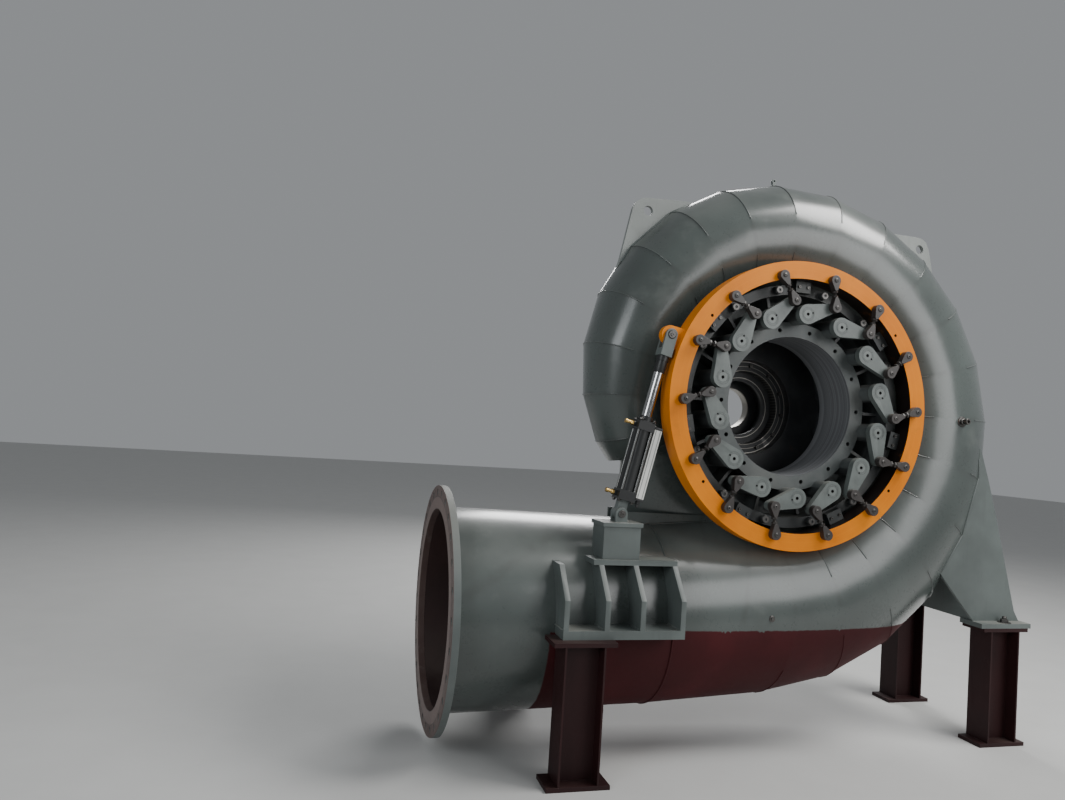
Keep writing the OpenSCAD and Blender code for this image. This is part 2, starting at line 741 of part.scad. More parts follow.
// Height of the inlet's outer face at the nose plates, x left of the turbine axis
function nose_foot(x) =
    let (s = inlet_section(min(x, joint_x)),
         r = x > joint_x ? joint_r + (x - joint_x) * (pipe_r - joint_r) / (inlet_x - flange_t - joint_x) : s[2])
    [-x, s[1][1] + s[2] + sqrt(r * r - nose_h * nose_h) + seat_gap];
module nose_plates() {
    foot = [for (x = [tail_x, joint_x / 2, joint_x, tail_wall_x + shell_t]) nose_foot(x)];
    color(steel_grey) for (s = [-1, 1])
        xz_plate(shell_t, mid_y + s * (nose_h + 0.5 + shell_t / 2) - shell_t / 2)
            polygon(concat(foot, [[-tail_wall_x - shell_t, -612], [-tail_x, 2 - lip_r]]));
}

lift_t = 25;
// The casing's outline in its middle plane, larger by seat_gap
module casing_outline() {
    polygon(concat([[0, 0]], [for (i = [9 : 21]) let (p = sections[i][1]) p * (1 + seat_gap / norm(p))]));
}

module lifting_plates() {
    color(steel_grey) difference() {
        xz_plate(lift_t, mid_y - lift_t / 2) difference() {
            union() {
                polygon([[-895, 700], [-881, 748], [-823, 1040], [-806, 1076], [-775, 1100],
                         [-740, 1109], [-504, 1120], [-420, 1100], [-760, 640]]);
                polygon([[690, 1114], [1040, 1112], [1080, 1106], [1108, 1087], [1128, 1048],
                         [1152, 952], [1190, 760], [1100, 700]]);
            }
            casing_outline();
        }
        for (c = [[-731, 1037], [1062, 1040]]) translate([c[0], 0, c[1]])
            y_cyl(lift_hole_r, lift_t + 2, mid_y - lift_t / 2 - 1);
    }
}

// The small eye on top of the casing
module casing_fittings() {
    top_z = spiral_section(0)[1][1];
    color(steel_grey) difference() {
        union() {
            translate([34, mid_y - 8, top_z - 20]) cube([22, 16, 64]);
            translate([45, mid_y - 8, top_z + 44]) y_cyl(14, 16);
        }
        translate([45, mid_y - 9, top_z + 46]) y_cyl(6, 18);
        clear_gore(14);
    }
}

casing_bottom();
casing_right();
casing_top();
casing_left();
inlet_pipe();
inlet_flange();
stay_ring();
front_cover();
back_cover();
shaft_seal_ring();
ring_guides();
nose_plates();
lifting_plates();
casing_fittings();
servo_bracket();
rear_bracket();
servo_pedestal();
inlet_stands();
casing_legs();
leg_stands();
regulating_ring();
servo_barrel();
position_sensor();
servo_rod();
for (k = [1 : gate_count]) {
    guide_vane(k);
    link(k);
}
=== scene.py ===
import json
import math

import bmesh
import bpy
from mathutils import Matrix, Vector

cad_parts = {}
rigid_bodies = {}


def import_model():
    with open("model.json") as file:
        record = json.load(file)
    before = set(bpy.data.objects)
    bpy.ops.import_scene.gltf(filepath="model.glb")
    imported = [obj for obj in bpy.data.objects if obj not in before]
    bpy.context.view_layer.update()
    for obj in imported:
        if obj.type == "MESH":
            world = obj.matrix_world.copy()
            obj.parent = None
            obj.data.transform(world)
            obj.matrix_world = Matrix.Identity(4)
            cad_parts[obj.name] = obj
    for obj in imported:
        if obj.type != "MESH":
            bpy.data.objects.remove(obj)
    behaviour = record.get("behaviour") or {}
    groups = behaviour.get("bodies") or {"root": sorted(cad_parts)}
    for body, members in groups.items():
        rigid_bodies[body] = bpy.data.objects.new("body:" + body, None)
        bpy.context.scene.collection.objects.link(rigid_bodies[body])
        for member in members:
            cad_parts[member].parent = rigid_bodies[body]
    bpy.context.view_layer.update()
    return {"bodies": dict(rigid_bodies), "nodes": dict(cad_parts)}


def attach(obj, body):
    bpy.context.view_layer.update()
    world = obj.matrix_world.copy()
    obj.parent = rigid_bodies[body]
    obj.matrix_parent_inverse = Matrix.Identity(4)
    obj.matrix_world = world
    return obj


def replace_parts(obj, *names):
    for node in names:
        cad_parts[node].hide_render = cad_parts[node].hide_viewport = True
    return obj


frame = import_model()
nodes = frame["nodes"]
print("frame loaded:", len(nodes), "nodes")

# Places that several pieces share, in metres and degrees, in the model's own frame
turbine = {
    "gateCount": 14,
    "goreCount": 24,
    "gateRadius": 0.4776,
    "gateAngle": -25.04,
    "ringPinRadius": 0.6776,
    "ringPinAngle": -13.92,
    "leverLength": 0.152,
    "leverAngle": 72.6,
    "midY": 0.351,
    "pipeZ": -1.142,
    "inletX": -1.78,
    "jointX": -0.67,
    "floorZ": -1.8,
    "legAside": 0.361,
}
gateStep = 360 / turbine["gateCount"]
front = Vector((0.0, -1.0, 0.0))  # towards the draft tube


def polar(radius, angle, y=0.0):  # angle clockwise from the top, seen from the front
    turn = math.radians(angle)
    return Vector((radius * math.sin(turn), y, radius * math.cos(turn)))


# Work in the viewport

def deselectAll():
    if bpy.context.object and bpy.context.object.mode != "OBJECT":
        bpy.ops.object.mode_set(mode="OBJECT")
    bpy.ops.object.select_all(action="DESELECT")


def pick(*pieces):
    deselectAll()
    for piece in pieces:
        piece.select_set(True)
    bpy.context.view_layer.objects.active = pieces[0]
    return pieces[0]


def settle(piece):  # puts its place, turn and size in the mesh
    pick(piece)
    bpy.ops.object.transform_apply(location=True, rotation=True, scale=True)
    return piece


def joinAll(pieces):
    pick(*pieces)
    if len(pieces) > 1:
        bpy.ops.object.join()
    return settle(bpy.context.object)


def discard(*pieces):
    pick(*pieces)
    bpy.ops.object.delete()


def duplicate(piece):  # its own mesh, free of the body it rode on
    pick(piece)
    bpy.ops.object.duplicate()
    copy = bpy.context.object
    for key in [k for k in copy.keys() if k.startswith("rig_")]:
        del copy[key]
    bpy.ops.object.parent_clear(type="CLEAR_KEEP_TRANSFORM")
    return copy


def startEdit(piece):
    pick(piece)
    bpy.ops.object.mode_set(mode="EDIT")


def endEdit(smooth=35):
    bpy.ops.object.mode_set(mode="OBJECT")
    bpy.ops.object.shade_smooth_by_angle(angle=math.radians(smooth))
    return bpy.context.object


def chooseFaces(test):  # by a face's middle and normal
    bpy.ops.mesh.select_mode(type="FACE")
    bpy.ops.mesh.select_all(action="DESELECT")
    shape = bmesh.from_edit_mesh(bpy.context.object.data)
    for face in shape.faces:
        face.select_set(bool(test(face.calc_center_median(), face.normal)))
    bmesh.update_edit_mesh(bpy.context.object.data)


def chooseEdges(test):  # by the edge itself
    bpy.ops.mesh.select_mode(type="EDGE")
    bpy.ops.mesh.select_all(action="DESELECT")
    shape = bmesh.from_edit_mesh(bpy.context.object.data)
    shape.normal_update()
    for edge in shape.edges:
        edge.select_set(bool(test(edge)))
    bmesh.update_edit_mesh(bpy.context.object.data)


def chooseVerts(test):  # by place
    bpy.ops.mesh.select_mode(type="VERT")
    bpy.ops.mesh.select_all(action="DESELECT")
    shape = bmesh.from_edit_mesh(bpy.context.object.data)
    for vert in shape.verts:
        vert.select_set(bool(test(vert.co)))
    shape.select_flush_mode()
    bmesh.update_edit_mesh(bpy.context.object.data)


def softenEdges(piece, width, angle=35, segments=2):
    pick(piece)
    bpy.ops.object.modifier_add(type="BEVEL")
    bevel = piece.modifiers[-1]
    bevel.width = width
    bevel.segments = segments
    bevel.limit_method = "ANGLE"
    bevel.angle_limit = math.radians(angle)
    bpy.ops.object.modifier_apply(modifier=bevel.name)
    bpy.ops.object.shade_smooth_by_angle(angle=math.radians(angle))
    return piece


def turned(radius, steps, place=(0.0, 0.0, 0.0), axis=front, sides=40):
    # Starts as a disc, and each step gives the next radius and how far it goes along the axis
    axis = Vector(axis).normalized()
    middle = Vector(place)
    deselectAll()
    bpy.ops.mesh.primitive_circle_add(vertices=sides, radius=radius, fill_type="NGON", location=middle,
                                      rotation=axis.to_track_quat("Z", "Y").to_euler())
    startEdit(settle(bpy.context.object))
    bpy.ops.mesh.select_all(action="SELECT")
    for nextRadius, advance in steps:
        bpy.ops.mesh.extrude_region_move(TRANSFORM_OT_translate={"value": tuple(axis * advance)})
        middle = middle + axis * advance
        if nextRadius != radius:
            bpy.ops.transform.resize(value=(nextRadius / radius,) * 3, center_override=tuple(middle))
        radius = nextRadius
    bpy.ops.mesh.select_all(action="SELECT")
    bpy.ops.mesh.normals_make_consistent(inside=False)
    return endEdit()


def block(size, place, turn=None):
    deselectAll()
    bpy.ops.mesh.primitive_cube_add(size=1.0)
    piece = bpy.context.object
    piece.matrix_world = Matrix.Translation(place) @ (turn or Matrix()) @ Matrix.Diagonal((*size, 1.0))
    return settle(piece)


def carve(piece, tool):
    pick(piece)
    bpy.ops.object.modifier_add(type="BOOLEAN")
    cut = piece.modifiers[-1]
    cut.operation = "DIFFERENCE"
    cut.solver = "EXACT"
    cut.object = tool
    bpy.ops.object.modifier_apply(modifier=cut.name)
    discard(tool)
    pick(piece)
    bpy.ops.object.shade_smooth_by_angle(angle=math.radians(35))
    return piece


def seat(piece, name, body, material):
    settle(piece)
    piece.name = name
    piece.data.materials.clear()
    piece.data.materials.append(material)
    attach(piece, body)
    return piece


def copies(model, places):  # each copy has its own mesh
    made = []
    for place in places:
        pick(model)
        bpy.ops.object.duplicate()
        bpy.context.object.matrix_world = place
        made.append(bpy.context.object)
    return joinAll(made)


def aim(place, axis, turn=0.0):  # from a model that faces -Y to a place and direction
    way = Vector(axis).normalized().to_track_quat("-Y", "Z").to_matrix().to_4x4()
    return Matrix.Translation(place) @ way @ Matrix.Rotation(turn, 4, "Y")


# Shader maths: an expression on wires adds its Math nodes

class Wire:
    def __init__(self, sheet, socket):
        self.sheet = sheet
        self.socket = socket

    def maths(self, operation, *others):
        return self.sheet.add("Math", {"operation": operation}, dict(enumerate((self, *others))))

    def __add__(self, other):
        return self.maths("ADD", other)

    def __sub__(self, other):
        return self.maths("SUBTRACT", other)

    def __mul__(self, other):
        return self.maths("MULTIPLY", other)

    def __truediv__(self, other):
        return self.maths("DIVIDE", other)

    def __rsub__(self, other):
        return self.maths("MULTIPLY", -1.0).maths("ADD", other)

    __radd__ = __add__
    __rmul__ = __mul__

    def step(self, low, high):  # 0 below low, 1 above high, smooth between
        return self.sheet.add("MapRange", {"interpolation_type": "SMOOTHSTEP"},
                              {"Value": self, "From Min": low, "From Max": high})

    def band(self, low, high, edge):  # 1 between low and high
        return self.step(low - edge, low) * (1.0 - self.step(high, high + edge))


class Sheet:  # one material
    def __init__(self, name):
        self.material = bpy.data.materials.new(name)
        self.material.use_nodes = True
        self.tree = self.material.node_tree
        self.shader = self.tree.nodes["Principled BSDF"]
        self.place = self.add("TexCoord", {}, {}, "Object")
        spot = self.add("SeparateXYZ", {}, {0: self.place}).socket.node
        self.x, self.y, self.z = (Wire(self, spot.outputs[i]) for i in range(3))
        facing = self.add("SeparateXYZ", {}, {0: self.add("NewGeometry", {}, {}, "Normal")}).socket.node
        self.facingY, self.up = Wire(self, facing.outputs[1]), Wire(self, facing.outputs[2])

    def add(self, kind, settings, inputs, output=0):
        node = self.tree.nodes.new("ShaderNode" + kind)
        for key, value in settings.items():
            setattr(node, key, value)
        for key, value in inputs.items():
            self.plug(node.inputs[key], value)
        return Wire(self, node.outputs[output])

    def plug(self, socket, value):
        if isinstance(value, Wire):
            self.tree.links.new(value.socket, socket)
        elif isinstance(value, tuple) and socket.type == "RGBA":
            socket.default_value = (*value, 1.0)
        else:
            socket.default_value = value

    def noise(self, scale, detail=3.0, roughness=0.5, stretch=None):
        place = self.place
        if stretch:
            place = self.add("Mapping", {}, {"Vector": place, "Scale": stretch})
        return self.add("TexNoise", {}, {"Vector": place, "Scale": scale, "Detail": detail,
                                         "Roughness": roughness})

    def blend(self, amount, first, second):
        return self.add("Mix", {"data_type": "RGBA"}, {0: amount, 6: first, 7: second}, 2)

    def across(self, a, b):  # distance in a plane
        return (a * a + b * b).maths("SQRT")

    def finish(self, color, roughness, metallic=0.0, height=None, depth=0.001, coat=0.0, specular=0.5):
        self.plug(self.shader.inputs["Base Color"], color)
        self.plug(self.shader.inputs["Roughness"], roughness)
        self.plug(self.shader.inputs["Metallic"], metallic)
        self.shader.inputs["Specular IOR Level"].default_value = specular
        if isinstance(coat, Wire) or coat:
            self.plug(self.shader.inputs["Coat Weight"], coat)
            self.shader.inputs["Coat Roughness"].default_value = 0.22
        if height is not None:
            bump = self.add("Bump", {}, {"Height": height, "Distance": depth, "Strength": 0.5})
            self.plug(self.shader.inputs["Normal"], bump)
        return self.material


# Materials

def wornPaint(name, color, dusty=0.35, sheen=0.36, grime=0.5, chip=0.72, under=(0.1, 0.05, 0.035),
              specular=0.5):
    sheet = Sheet(name)
    broad = sheet.noise(2.4, 4.0, 0.55)
    fine = sheet.noise(60.0, 4.0, 0.6)
    streaks = sheet.noise(9.0, 5.0, 0.6, (3.0, 3.0, 0.5))
    base = sheet.blend(broad.step(0.3, 0.7), tuple(0.78 * c for c in color), tuple(1.18 * c for c in color))
    base = sheet.blend(streaks.step(0.5, 0.8) * (0.5 * grime), base, tuple(0.45 * c for c in color))
    dust = sheet.up.step(0.2, 0.95) * broad.step(0.35, 0.65) * dusty
    base = sheet.blend(dust, base, (0.3, 0.28, 0.24))
    chips = sheet.noise(34.0, 6.0, 0.75).step(chip, chip + 0.02)
    base = sheet.blend(chips * 0.8, base, under)
    roughness = sheen + 0.14 * fine + 0.25 * dust + 0.08 * streaks
    return sheet.finish(base, roughness, 0.0, fine * 0.35 + broad * 2.0, 0.001, 0.0, specular)


def casingPaint():
    look = {"gray": (0.072, 0.086, 0.081), "red": (0.042, 0.0045, 0.006), "edge": -1.152, "redFrom": -1.292}
    sheet = Sheet("casingPaint")
    broad = sheet.noise(1.7, 4.0, 0.55)
    fine = sheet.noise(48.0, 4.0, 0.6)
    patches = sheet.noise(5.0, 5.0, 0.6)
    turn = sheet.x.maths("ARCTAN2", sheet.z) * (turbine["goreCount"] / (2 * math.pi))
    seam = (turn + turbine["goreCount"] / 2).maths("PINGPONG", 0.5)
    nearSeam = 1.0 - seam.step(0.01, 0.09)
    gray = sheet.blend(broad.step(0.3, 0.72), tuple(0.82 * c for c in look["gray"]),
                       tuple(1.14 * c for c in look["gray"]))
    gray = sheet.blend(patches.step(0.55, 0.75) * 0.3, gray, (0.15, 0.165, 0.155))
    gray = sheet.blend(nearSeam * patches.step(0.4, 0.6) * 0.45, gray, (0.05, 0.056, 0.053))
    # lighter on upward faces: real dust, and partly a painted reflection of the window light on the casing's
    # tops
    dust = sheet.up.step(0.25, 1.0) * broad.step(0.3, 0.6) * 0.25
    gray = sheet.blend(dust, gray, (0.27, 0.27, 0.25))
    red = sheet.blend(broad.step(0.35, 0.7), look["red"], tuple(1.7 * c for c in look["red"]))
    drips = sheet.noise(14.0, 4.0, 0.6, (1.0, 1.0, 0.08))
    edge = sheet.z + 0.01 * fine + 0.016 * broad + 0.02 * drips.step(0.6, 0.75)
    start = sheet.x + 0.02 * patches
    under = 1.0 - edge.step(look["edge"] + 0.016, look["edge"] + 0.022)
    under = under * start.step(look["redFrom"], look["redFrom"] + 0.008)
    color = sheet.blend(under, gray, red)
    rust = sheet.noise(26.0, 6.0, 0.75).step(0.71, 0.74)
    color = sheet.blend(rust * 0.6, color, (0.12, 0.06, 0.03))
    roughness = 0.17 + 0.12 * fine + 0.25 * dust + 0.12 * patches + under * 0.4
    return sheet.finish(color, roughness, 0.0, fine * 0.25 + patches * 1.5 + broad * 3.0, 0.0016,
                        0.8 * (1.0 - under), 0.25)


def ringPaint():
    sheet = Sheet("ringPaint")
    broad = sheet.noise(3.0, 4.0, 0.55)
    fine = sheet.noise(70.0, 4.0, 0.6)
    radius = sheet.across(sheet.x, sheet.z)
    lathe = sheet.add("CombineXYZ", {}, {0: radius * 150.0, 1: sheet.y * 9.0})
    grooves = sheet.add("TexNoise", {}, {"Vector": lathe, "Scale": 1.0, "Detail": 3.0})
    base = sheet.blend(broad.step(0.3, 0.7), (0.64, 0.175, 0.003), (0.76, 0.23, 0.005))
    base = sheet.blend(grooves.step(0.45, 0.7) * 0.2, base, (0.82, 0.3, 0.015))
    # painted shadow: the ring's inner round face, which lies in shade, is painted near black
    bore = (1.0 - radius.step(0.6594, 0.6604)) * sheet.facingY.step(-0.8, -0.6)
    base = sheet.blend(bore, base, (0.014, 0.01, 0.009))
    # painted shade: the four holes in the ring are painted near black
    hole = sheet.across(sheet.x.maths("ABSOLUTE") - 0.5434, sheet.z.maths("ABSOLUTE") - 0.4154)
    base = sheet.blend(1.0 - hole.step(0.0076, 0.0082), base, (0.01, 0.008, 0.006))
    grime = sheet.noise(11.0, 6.0, 0.65).step(0.56, 0.8)
    base = sheet.blend(grime * 0.3, base, (0.32, 0.13, 0.02))
    chips = sheet.noise(38.0, 6.0, 0.75).step(0.72, 0.74)
    base = sheet.blend(chips, base, (0.1, 0.06, 0.04))
    roughness = 0.3 + 0.14 * fine + 0.18 * grime
    return sheet.finish(base, roughness, 0.0, fine * 0.35 + broad + grooves * 0.3, 0.0008, 0.0, 0.18)


def coverPaint():
    sheet = Sheet("coverPaint")
    broad = sheet.noise(4.0, 5.0, 0.6)
    fine = sheet.noise(80.0, 4.0, 0.6)
    radius = sheet.across(sheet.x, sheet.z)
    color = sheet.blend(broad.step(0.35, 0.65), (0.036, 0.039, 0.04), (0.06, 0.064, 0.064))
    gray = sheet.blend(broad.step(0.3, 0.7), (0.07, 0.08, 0.079), (0.11, 0.122, 0.12))
    flange = radius.step(0.3685, 0.371) * (1.0 - radius.step(0.447, 0.449)) * (1.0 - sheet.y.step(0.001, 0.003))
    rim = radius.step(0.585, 0.59) * (1.0 - sheet.y.step(0.05, 0.1))
    # painted light: the recessed plate seen between the ribs lies in shade, and is painted lighter to stand in
    # for light reaching it
    color = sheet.blend(sheet.y.step(0.075, 0.1) * radius.step(0.396, 0.4), color, (0.12, 0.13, 0.128))
    color = sheet.blend(flange * 0.85, color, gray)
    color = sheet.blend(rim * 0.5, color, (0.03, 0.033, 0.033))
    dust = sheet.up.step(0.3, 0.9) * broad.step(0.3, 0.6) * 0.5
    dust = dust + (1.0 - sheet.facingY.step(-0.95, -0.7)) * broad.step(0.4, 0.7) * 0.25
    color = sheet.blend(dust, color, (0.15, 0.145, 0.13))
    bore = (1.0 - radius.step(0.3683, 0.3695)) * (1.0 - sheet.y.step(0.272, 0.28))
    lathe = sheet.add("CombineXYZ", {}, {0: sheet.y * 160.0, 1: radius * 20.0})
    grooves = sheet.add("TexNoise", {}, {"Vector": lathe, "Scale": 1.0, "Detail": 4.0})
    lined = sheet.blend(grooves.step(0.4, 0.65), (0.13, 0.135, 0.142), (0.21, 0.215, 0.225))
    color = sheet.blend(bore, color, lined)
    roughness = 0.36 + 0.18 * fine + 0.25 * dust
    return sheet.finish(color, roughness, 0.15, fine * 0.4 + broad + bore * grooves, 0.0009)


def hubPaint():  # the bearing side cover, machined bright inside its bore
    sheet = Sheet("hubPaint")
    broad = sheet.noise(4.0, 5.0, 0.6)
    fine = sheet.noise(80.0, 4.0, 0.6)
    radius = sheet.across(sheet.x, sheet.z)
    turns = sheet.add("CombineXYZ", {}, {0: radius * 260.0, 1: sheet.y * 260.0})
    lathe = sheet.add("TexNoise", {}, {"Vector": turns, "Scale": 1.0, "Detail": 3.0})
    color = sheet.blend(broad.step(0.35, 0.65), (0.014, 0.015, 0.017), (0.034, 0.036, 0.038))
    bright = sheet.blend(lathe.step(0.35, 0.7), (0.3, 0.28, 0.25), (0.6, 0.58, 0.53))
    edges = radius.band(0.2152, 0.2185, 0.0004) + radius.band(0.24, 0.2425, 0.0006)
    edges = edges + radius.band(0.266, 0.2705, 0.0008)
    edges = edges + radius.band(0.176, 0.1795, 0.0006) + radius.band(0.1185, 0.1225, 0.0005)
    machined = edges * sheet.y.step(0.44, 0.445) * (1.0 - sheet.y.step(0.698, 0.7))
    color = sheet.blend(machined * 0.8, color, bright)
    gray = sheet.blend(broad.step(0.3, 0.7), (0.08, 0.094, 0.09), (0.12, 0.138, 0.132))
    outside = sheet.y.step(0.462, 0.464) * radius.step(0.281, 0.283)
    color = sheet.blend(outside, color, gray)
    rust = sheet.noise(18.0, 6.0, 0.7).step(0.6, 0.72)
    color = sheet.blend(rust * 0.4, color, (0.1, 0.055, 0.03))
    metal = machined * (1.0 - rust) * 0.8
    roughness = 0.32 + 0.2 * fine + 0.2 * rust
    return sheet.finish(color, roughness, metal, fine * 0.4 + broad + lathe * machined, 0.0006)


def leverPaint():
    sheet = Sheet("leverPaint")
    step = math.radians(gateStep)
    broad = sheet.noise(7.0, 4.0, 0.6)
    fine = sheet.noise(110.0, 4.0, 0.6)
    turn = sheet.x.maths("ARCTAN2", sheet.z) + (step * 10.5 - math.radians(turbine["gateAngle"]))
    local = turn.maths("FLOORED_MODULO", step) - step / 2
    radius = sheet.across(sheet.x, sheet.z)
    stem = sheet.across(radius * local.maths("COSINE") - turbine["gateRadius"], radius * local.maths("SINE"))
    onFace = 1.0 - sheet.y.step(-0.1108, -0.1105)
    rings = stem.band(0.0242, 0.0254, 0.0006) + stem.band(0.0354, 0.0366, 0.0006)
    base = sheet.blend(broad.step(0.3, 0.7), (0.09, 0.105, 0.1), (0.128, 0.146, 0.139))
    base = sheet.blend(rings * onFace * 0.75, base, (0.05, 0.056, 0.054))
    base = sheet.blend(stem.band(0.0, 0.0235, 0.001) * onFace * 0.25, base, (0.23, 0.25, 0.24))
    # painted shade: the faces inside the centre hole and the dowel hole are painted near black
    dowel = sheet.across(radius * local.maths("COSINE") - (turbine["gateRadius"] + 0.00897),
                         radius * local.maths("SINE") - 0.02863)
    hole = (1.0 - stem.step(0.0082, 0.0088)).maths("MAXIMUM", 1.0 - dowel.step(0.0047, 0.0052))
    base = sheet.blend(hole, base, (0.008, 0.008, 0.008))
    behind = sheet.y.step(-0.0745, -0.0735)
    base = sheet.blend(behind, base, (0.03, 0.033, 0.035))
    smears = sheet.noise(16.0, 5.0, 0.65).step(0.52, 0.75)
    base = sheet.blend(smears * 0.3, base, (0.05, 0.05, 0.045))
    chips = sheet.noise(60.0, 6.0, 0.75).step(0.71, 0.73)
    base = sheet.blend(chips * 0.6, base, (0.28, 0.28, 0.27))
    dust = sheet.up.step(0.3, 1.0) * 0.35
    base = sheet.blend(dust, base, (0.26, 0.25, 0.22))
    height = fine * 0.4 + broad - 0.8 * rings * onFace
    return sheet.finish(base, 0.36 + 0.18 * fine + 0.12 * dust, 0.0, height, 0.0008, 0.1)


def steel(name, color, roughness=0.3, scratch=0.4, dirt=0.3):
    sheet = Sheet(name)
    fine = sheet.noise(150.0, 4.0, 0.6, (1.0, 1.0, 0.15))
    broad = sheet.noise(9.0, 4.0, 0.6)
    base = sheet.blend(broad.step(0.3, 0.7), tuple(0.78 * c for c in color), color)
    stains = sheet.noise(22.0, 5.0, 0.65).step(0.55, 0.75)
    base = sheet.blend(stains * dirt, base, (0.09, 0.07, 0.055))
    return sheet.finish(base, roughness + scratch * 0.3 * fine + 0.15 * stains, 1.0, fine, 0.0003)


def flangeFinish():  # primed sealing face, painted rim and back
    sheet = Sheet("flangeFinish")
    broad = sheet.noise(3.0, 4.0, 0.6)
    fine = sheet.noise(50.0, 4.0, 0.6)
    radius = sheet.across(sheet.z - turbine["pipeZ"], sheet.y - turbine["midY"])
    grooves = (radius * 220.0).maths("PINGPONG", 0.5)
    primer = sheet.blend(broad.step(0.3, 0.7), (0.075, 0.044, 0.039), (0.11, 0.075, 0.066))
    primer = sheet.blend(sheet.noise(14.0, 6.0, 0.7).step(0.5, 0.75) * 0.5, primer, (0.16, 0.135, 0.12))
    gray = sheet.blend(broad.step(0.3, 0.7), (0.085, 0.1, 0.096), (0.12, 0.135, 0.13))
    gray = sheet.blend(sheet.up.step(0.3, 1.0) * 0.4, gray, (0.3, 0.29, 0.26))
    face = 1.0 - sheet.x.step(turbine["inletX"] + 0.001, turbine["inletX"] + 0.003)
    inside = 1.0 - radius.step(0.495, 0.4965)
    sealing = face * radius.band(0.52, 0.556, 0.002)
    primer = sheet.blend(face * radius.band(0.499, 0.555, 0.001) * 0.5, primer, (0.21, 0.155, 0.14))
    # painted shade: a thin dark ring at the edge of the raised sealing face stands in for the shade of its step
    primer = sheet.blend(face * radius.band(0.5563, 0.559, 0.0006) * 0.8, primer, (0.02, 0.014, 0.013))
    color = sheet.blend(face.maths("MAXIMUM", inside), gray, primer)
    rust = sheet.noise(24.0, 6.0, 0.75).step(0.66, 0.72)
    color = sheet.blend(rust * 0.7, color, (0.11, 0.045, 0.02))
    return sheet.finish(color, 0.44 + 0.2 * fine, 0.0, fine * 0.4 + broad + grooves * sealing * 0.8, 0.0009)


casingGray = casingPaint()
plateGray = wornPaint("platePaint", (0.105, 0.123, 0.118), 0.35, 0.32)
standBrown = wornPaint("standPaint", (0.022, 0.0055, 0.006), 0.08, 0.45, 0.6, specular=0.3)
insidePrimer = wornPaint("insidePrimer", (0.026, 0.0095, 0.0085), 0.12, 0.5, 0.7)
# a lighter copy of the plate paint: painted reflection of the bright sky on the lifting plates
litPlateGray = wornPaint("liftPlateLitPaint", (0.2, 0.215, 0.205), 0.35, 0.3)
ringOrange = ringPaint()
coverDark = coverPaint()
hubSteel = hubPaint()
leverGray = leverPaint()
linkDark = wornPaint("linkFinish", (0.034, 0.029, 0.027), 0.2, 0.32, 0.4, 0.7, (0.2, 0.19, 0.18))
barrelBlack = wornPaint("barrelPaint", (0.014, 0.015, 0.0155), 0.2, 0.3, 0.3, 0.75)
rodChrome = steel("rodChrome", (0.5, 0.5, 0.5), 0.07, 0.15, 0.12)
brightSteel = steel("brightSteel", (0.2, 0.2, 0.195), 0.3, 0.5)
screwSteel = steel("screwSteel", (0.13, 0.125, 0.12), 0.32, 0.5, 0.45)
brassGold = steel("brassFitting", (0.6, 0.4, 0.14), 0.25, 0.4, 0.35)
sensorWhite = wornPaint("sensorProfile", (0.6, 0.6, 0.57), 0.05, 0.3, 0.2, 0.8)
blackPlastic = wornPaint("blackPlastic", (0.02, 0.02, 0.021), 0.2, 0.42, 0.2, 0.8)
flangePrimer = flangeFinish()
print("materials ready")

# Smooth copies of the solids, merged, with softened edges

finishes = {  # material, width of the softened edges, slot in the record
    "inlet_pipe": (casingGray, 0.0, "casing_paint"),
    "inlet_flange": (flangePrimer, 0.0015, "casing_paint"),
    "nose_plates": (casingGray, 0.0015, "casing_paint"),
    # the lifting plates take the lighter copy of the plate paint, a painted reflection
    "lifting_plates": (litPlateGray, 0.002, "casing_paint"),
    "casing_fittings": (plateGray, 0.001, "casing_paint"),
    "servo_bracket": (plateGray, 0.002, "casing_paint"),
    "rear_bracket": (plateGray, 0.002, "casing_paint"),
    "servo_pedestal": (plateGray, 0.002, "casing_paint"),
    "casing_legs": (plateGray, 0.002, "casing_paint"),
    "ring_guides": (coverDark, 0.0015, "casing_paint"),
    "inlet_stands": (standBrown, 0.002, "stand_paint"),
    "leg_stands": (standBrown, 0.002, "stand_paint"),
    "stay_ring": (coverDark, 0.0015, "dark_steel"),
    "front_cover": (coverDark, 0.0015, "dark_steel"),
    "back_cover": (hubSteel, 0.0015, "dark_steel"),
    "shaft_seal_ring": (hubSteel, 0.001, "bright_steel"),
    "regulating_ring": (ringOrange, 0.0015, "ring_paint"),
    "servo_barrel": (barrelBlack, 0.0015, "dark_steel"),
    "position_sensor": (sensorWhite, 0.001, "sensor_aluminium"),
    "servo_rod": (rodChrome, 0.0015, "bright_steel"),
    "guide_vane": (leverGray, 0.0012, "lever_paint"),
}
bodyOf = {n: b for b, e in frame["bodies"].items() for n in nodes if nodes[n].parent == e}


def smoothCopy(name):
    material, edge, slotName = finishes[name if name in finishes else name.rstrip("0123456789").rstrip("_")]
    copy = duplicate(nodes[name])
    startEdit(settle(copy))
    bpy.ops.mesh.select_all(action="SELECT")
    bpy.ops.mesh.remove_doubles(threshold=0.00002)
    if edge:
        bpy.ops.mesh.dissolve_limited(angle_limit=math.radians(0.4))
    endEdit(30)
    if edge:
        softenEdges(copy, edge)
    seat(copy, name + ".finish", bodyOf[name], material)
    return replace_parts(copy, name)


casingNodes = ("casing_bottom", "casing_right", "casing_top", "casing_left")
finished = {name: smoothCopy(name) for name in nodes
            if name not in casingNodes and not name.startswith("link_")}
print("smooth copies ready")

# The casing's four parts as one skin of gores

